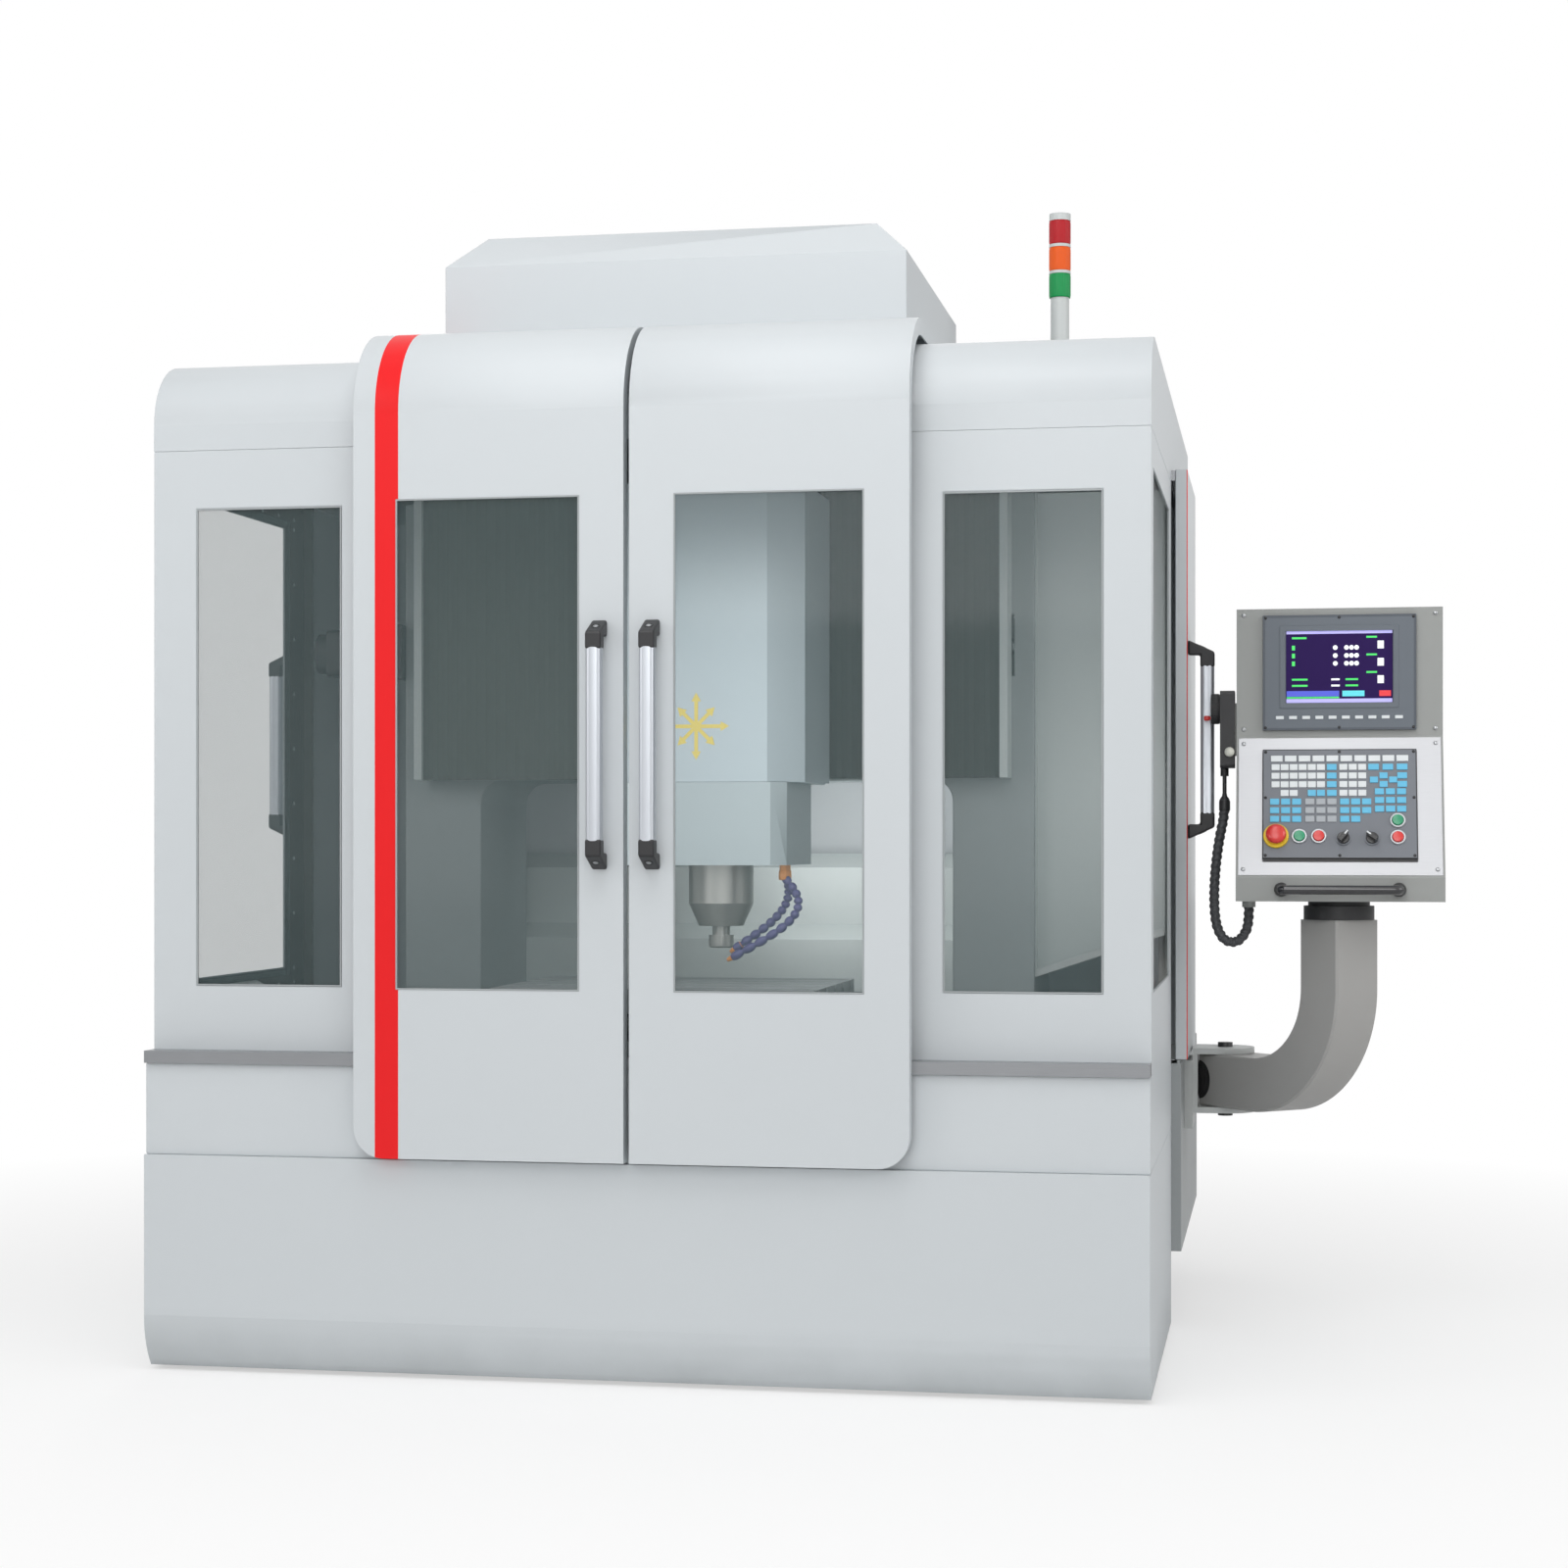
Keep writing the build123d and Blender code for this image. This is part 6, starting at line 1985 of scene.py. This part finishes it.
    def _plate(self) -> None:
        """The silver plate, the keypad's dark rim and sill, and the rims of the display."""
        margin, keypad = self.plate_margin, self.keypad
        outer = shrunk((-self.half_width, -self.plate_length, self.half_width, 0.0), margin)
        inner = shrunk(keypad, self.keypad_rim)
        tilted, upright, body = self.tilted, self.upright, self.body
        ring_plate("silver_plate", tilted, outer, keypad, self.plate_depth, SILVER, body)
        ring_plate("keypad_rim", tilted, keypad, inner, self.keypad_rim_depth, BLACK, body)
        _, tall, thick = self.sill_size
        sill = [(0.0, keypad[1] - tall / 2, thick / 2)]
        blocks("keypad_sill", tilted, sill, self.sill_size, BLACK, body, self.sill_edge)
        inner = shrunk(self.display, self.display_rim)
        depth = self.display_rim_depth
        ring_plate("display_rim", upright, self.display, inner, depth, SLATE, body)
        inner = shrunk(self.screen_frame, self.screen_rim)
        depth = self.screen_rim_depth
        ring_plate("screen_frame", upright, self.screen_frame, inner, depth, BEZEL, body)

    def _keys(self) -> None:
        """Membrane keys, one piece for each block of one colour, and the row below the screen."""
        for number, block in enumerate(self.key_blocks):
            row, column = np.indices((block.rows, block.columns)).reshape(2, -1)
            centres = np.empty((block.rows * block.columns, 3))
            centres[:, 0] = block.across + column * block.pitch
            centres[:, 1] = -block.down - row * self.key_pitch
            centres[:, 2] = self.key_lift
            size = (block.wide, self.key_tall, self.key_thick)
            name = f"{block.colour.name.lower()}_keys_{number}"
            finish = block.colour.value
            blocks(name, self.tilted, centres, size, finish, self.body, self.key_edge)
        soft = np.empty((self.soft_keys, 3))
        soft[:, 0] = np.linspace(-self.soft_reach, self.soft_reach, self.soft_keys)
        soft[:, 1:] = self.soft_place
        size, edge = self.soft_size, self.key_edge
        blocks("soft_keys", self.upright, soft, size, KEY_WHITE, self.body, edge)

    def _screen(self) -> None:
        """Lit screen with plain fields of colour in the places of its rows and bars."""
        low, high, sink, thick = (
            self.screen_low,
            self.screen_high,
            self.screen_sink,
            self.screen_thick,
        )
        pane = (self.screen_wide, high - low - thick, thick)
        middle, edge = [(0.0, (low + high) / 2, sink + thick / 2)], self.screen_edge
        blocks("screen_pane", self.upright, middle, pane, SCREEN, self.body, edge)
        rows, low_rows = self.value_rows, (0.0455, 0.0336)
        labels, squares = (0.1270, 0.0930, 0.0590), (0.1120, 0.0786, 0.0450)
        fields = (
            ("top_bar", SCREEN_LILAC, 0.0, (0.1370,), (0.2010, 0.0062)),
            ("heading", SCREEN_GREEN, -0.0760, (0.1260,), (0.0280, 0.0038)),
            ("axis_marks", SCREEN_GREEN, -0.0870, rows, (0.0060, 0.0090)),
            ("side_labels", SCREEN_GREEN, 0.0616, labels, (0.0200, 0.0036)),
            ("side_squares", SCREEN_WHITE, 0.0786, squares, (0.0120, 0.0150)),
            ("low_labels", SCREEN_GREEN, -0.0750, low_rows, (0.0300, 0.0036)),
            ("low_values", SCREEN_WHITE, -0.0070, low_rows, (0.0160, 0.0036)),
            ("low_units", SCREEN_GREEN, 0.0240, low_rows, (0.0240, 0.0036)),
            ("blue_bar", SCREEN_BLUE, -0.0500, (0.0180,), (0.1000, 0.0110)),
            ("green_bar", SCREEN_GREEN, -0.0500, (0.0105,), (0.1000, 0.0030)),
            ("teal_field", SCREEN_CYAN, 0.0270, (0.0180,), (0.0420, 0.0110)),
            ("red_field", SCREEN_RED, 0.0870, (0.0180,), (0.0220, 0.0110)),
            ("foot_bar", SCREEN_LILAC, 0.0, (0.0042,), (0.2010, 0.0078)),
        )
        for name, finish, across, heights, size in fields:
            centres = [(across, low + up, sink + self.field_lift) for up in heights]
            full, edge = (*size, self.field_thick), self.field_edge
            blocks(name, self.upright, centres, full, finish, self.body, edge)
        dots = [(across, low + up, sink) for up in rows for across in self.value_columns]
        sides = self.value_sides
        lathed("value_dots", self.upright, self.value_dot, SCREEN_WHITE, self.body, dots, sides)

    def _buttons(self) -> None:
        """Emergency stop with its yellow collar, and four lit push buttons."""
        stop = self.tilted.moved(*self.stop_place)
        hoop("e_stop_collar", stop, self.stop_collar, YELLOW, self.body)
        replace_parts(lathed("e_stop_head", stop, self.stop_head, RED, "e_stop"), "e_stop_button")
        spots = (
            ("cycle_start", (-0.076, -0.208), GREEN),
            ("cycle_stop", (-0.0395, -0.208), RED),
            ("power_on", (0.1088, -0.176), GREEN),
            ("power_off", (0.1088, -0.210), RED),
        )
        for name, spot, finish in spots:
            axes = self.tilted.moved(*spot)
            hoop(f"{name}_ring", axes, self.button_ring, RING, self.body)
            cap = lathed(f"{name}_cap", axes, self.button_cap, finish, name)
            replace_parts(cap, f"{name}_button")

    def _selectors(self) -> None:
        """Two selector knobs: a low drum, a lever turned to its setting, and a pale tip."""
        flat = np.array([self.tilted.across, self.tilted.up])
        for name, across, turn in self.selectors:
            along, up = (tuple(row) for row in turned_plane(radians(turn)) @ flat)
            knob = replace(self.tilted.moved(across, self.selector_up), across=along, up=up)
            node, body, sides = f"{name}_selector", f"{name}_knob", self.selector_sides
            drum = lathed(f"{name}_drum", knob, self.selector_drum, LEVER, body, sides=sides)
            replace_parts(drum, node)
            depth, edge = self.lever_depth, self.lever_edge
            lever = prism(f"{name}_lever", knob, self.lever, depth, LEVER, body, edge)
            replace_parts(lever, node)
            place, size, edge = [self.pointer_place], self.pointer_size, self.pointer_edge
            blocks(f"{name}_pointer", knob, place, size, KEY_WHITE, body, edge)

    def _screws(self) -> None:
        """Bright screws in the plates' corners, and small dark ones round display and keypad."""
        sides = (-1, 1)
        across, inset = self.half_width - self.screw_inset, self.plate_screw_inset
        heights = (self.split_z + self.screw_inset, self.screw_top)
        drops, rise = (inset, self.plate_length - inset), self.plate_screw_rise
        face = [(side * across, height, 0.0) for side in sides for height in heights]
        plate = [(side * across, -drop, rise) for side in sides for drop in drops]
        reach, *heights = self.display_screws
        rise, columns = self.display_screw_rise, (-reach, 0.0, reach)
        display = [(column, height, rise) for column in columns for height in heights]
        reach, *drops, middle = self.keypad_screws
        rise, columns = self.keypad_screw_rise, (-reach, 0.0, reach)
        keypad = [(column, -drop, rise) for column in columns for drop in drops]
        keypad += [(side * reach, -middle, rise) for side in sides]
        rows = (
            ("face_screws", self.upright, self.screw, SCREW, face, self.screw_sides),
            ("plate_screws", self.tilted, self.screw, SCREW, plate, self.screw_sides),
            ("display_screws", self.upright, self.small_screw, BLACK, display, self.small_sides),
            ("keypad_screws", self.tilted, self.small_screw, BLACK, keypad, self.small_sides),
        )
        for name, axes, profile, finish, places, steps in rows:
            lathed(name, axes, profile, finish, self.body, places, steps)

    def _grab(self) -> None:
        """A round bar that bends back into the strip under the keypad at both ends."""
        low, high = low_of("grab_handle").tolist(), high_of("grab_handle").tolist()
        thick, height = (high[2] - low[2]) / 2, (high[2] + low[2]) / 2
        left, right = low[0] + thick, high[0] - thick
        out, root = low[1] + thick, high[1]
        bend = self.grab_bend
        half = [(0.0, root), (0.0, out + bend), (0.0, out), (bend, out), (3 * bend, out)]
        route = [(left + inset, y, height) for inset, y in half]
        route += [(right - inset, y, height) for inset, y in reversed(half)]
        path = evenly(spline_points(route), self.grab_steps)
        points, faces = swept(path, thick * self.grab_swell, self.grab_sides)
        bar = mesh_piece("grab_bar", points, faces, GRAB_BAR, self.body)
        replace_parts(bar, "grab_handle")
        for label, across in (("left", left), ("right", right)):
            foot, sides = front_axes((across, root, height)), self.ferrule_sides
            lathed(f"{label}_ferrule", foot, self.ferrule, BLACK, self.body, sides=sides)


@dataclass
class HandwheelUnit:
    """Handwheel unit on the panel's side: body with a pale ball knob, dial and red crank."""

    ribs: int = 40
    rib_depth: float = 0.0012
    dial_heights: tuple[float, ...] = (0.0003, 0.0020, 0.0035, 0.0145, 0.0160, 0.0176)
    dial_plain: tuple[float, ...] = (1.0, 1.0, 0.0, 0.0, 1.0, 1.0)
    scale: Profile = ((0.003, 0.0165), (0.003, 0.0180), (0.009, 0.0181), (0.010, 0.0172))
    crank: Profile = (
        (0.0030, 0.0175),
        (0.0030, 0.0200),
        (0.0046, 0.0212),
        (0.0050, 0.0250),
        (0.0050, 0.0290),
        (0.0042, 0.0312),
        (0.0024, 0.0319),
        (0.0003, 0.0320),
    )
    crank_drop: float = 0.018
    crank_sides: int = 28

    def build(self) -> None:
        """Dresses the body and turns the dial, its scale ring and the crank knob."""
        dress(WHEEL_BODY, "handwheel_body")
        low, high = low_of("handwheel_dial"), high_of("handwheel_dial")
        _, y, z = ((low + high) / 2).tolist()
        radius = float(high[2] - low[2]) / 2
        axes = Axes((float(high[0]), y, z), (0.0, 0.0, 1.0), (0.0, 1.0, 0.0), (-1.0, 0.0, 0.0))
        points, faces = self._ribbed(radius)
        dial = mesh_piece("dial_wheel", axes.place(points), faces, BLACK, "handwheel")
        soften(dial, LATHE_EDGE, 1, LATHE_ANGLE)
        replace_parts(dial, "handwheel_dial")
        scale = [(radius - inset, height) for inset, height in self.scale]
        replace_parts(lathed("dial_scale", axes, scale, SILVER, "handwheel"), "handwheel_dial")
        spot, sides = [(-self.crank_drop, 0.0, 0.0)], self.crank_sides
        knob = lathed("crank_knob", axes, self.crank, RED, "handwheel", spot, sides)
        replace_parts(knob, "handwheel_dial")

    def _ribbed(self, radius: float) -> Shape:
        """The dial: a drum whose rim swells and dips with each grip rib.

        Args:
            radius: Radius of the dial.

        Returns:
            Its points and faces.
        """
        sides = self.ribs * RIB_STEPS
        height, plain = np.array(self.dial_heights), np.array(self.dial_plain)[:, None]
        rim = radius - self.rib_depth * (plain + (1 - plain) * rib_wave(self.ribs)[None])
        return rings(rim, height, sides).reshape(-1, 3), tube_faces(len(height), sides)


def main() -> None:
    """Builds every sub-assembly in order and reports its pieces."""
    logging.basicConfig(level=logging.INFO, format="%(name)s %(message)s")
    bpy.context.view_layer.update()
    studio = Studio()
    studio.build_camera()
    assemblies = (
        HandwheelCord(),
        Cabin(),
        FrontDoor("left", -1.0, STRIPED),
        FrontDoor("right", 1.0, CABIN),
        SideDoor("left", -1.0, CABIN),
        SideDoor("right", 1.0, SIDE_DOOR),
        StackLight(),
        GantryMachine(),
        EngravingHead(),
        SwingArm(),
        ControlPanel(),
        HandwheelUnit(),
        studio,
    )
    for assembly in assemblies:
        assembly.build()
        LOG.info("%s built", type(assembly).__name__)


if __name__ == "__main__":
    main()
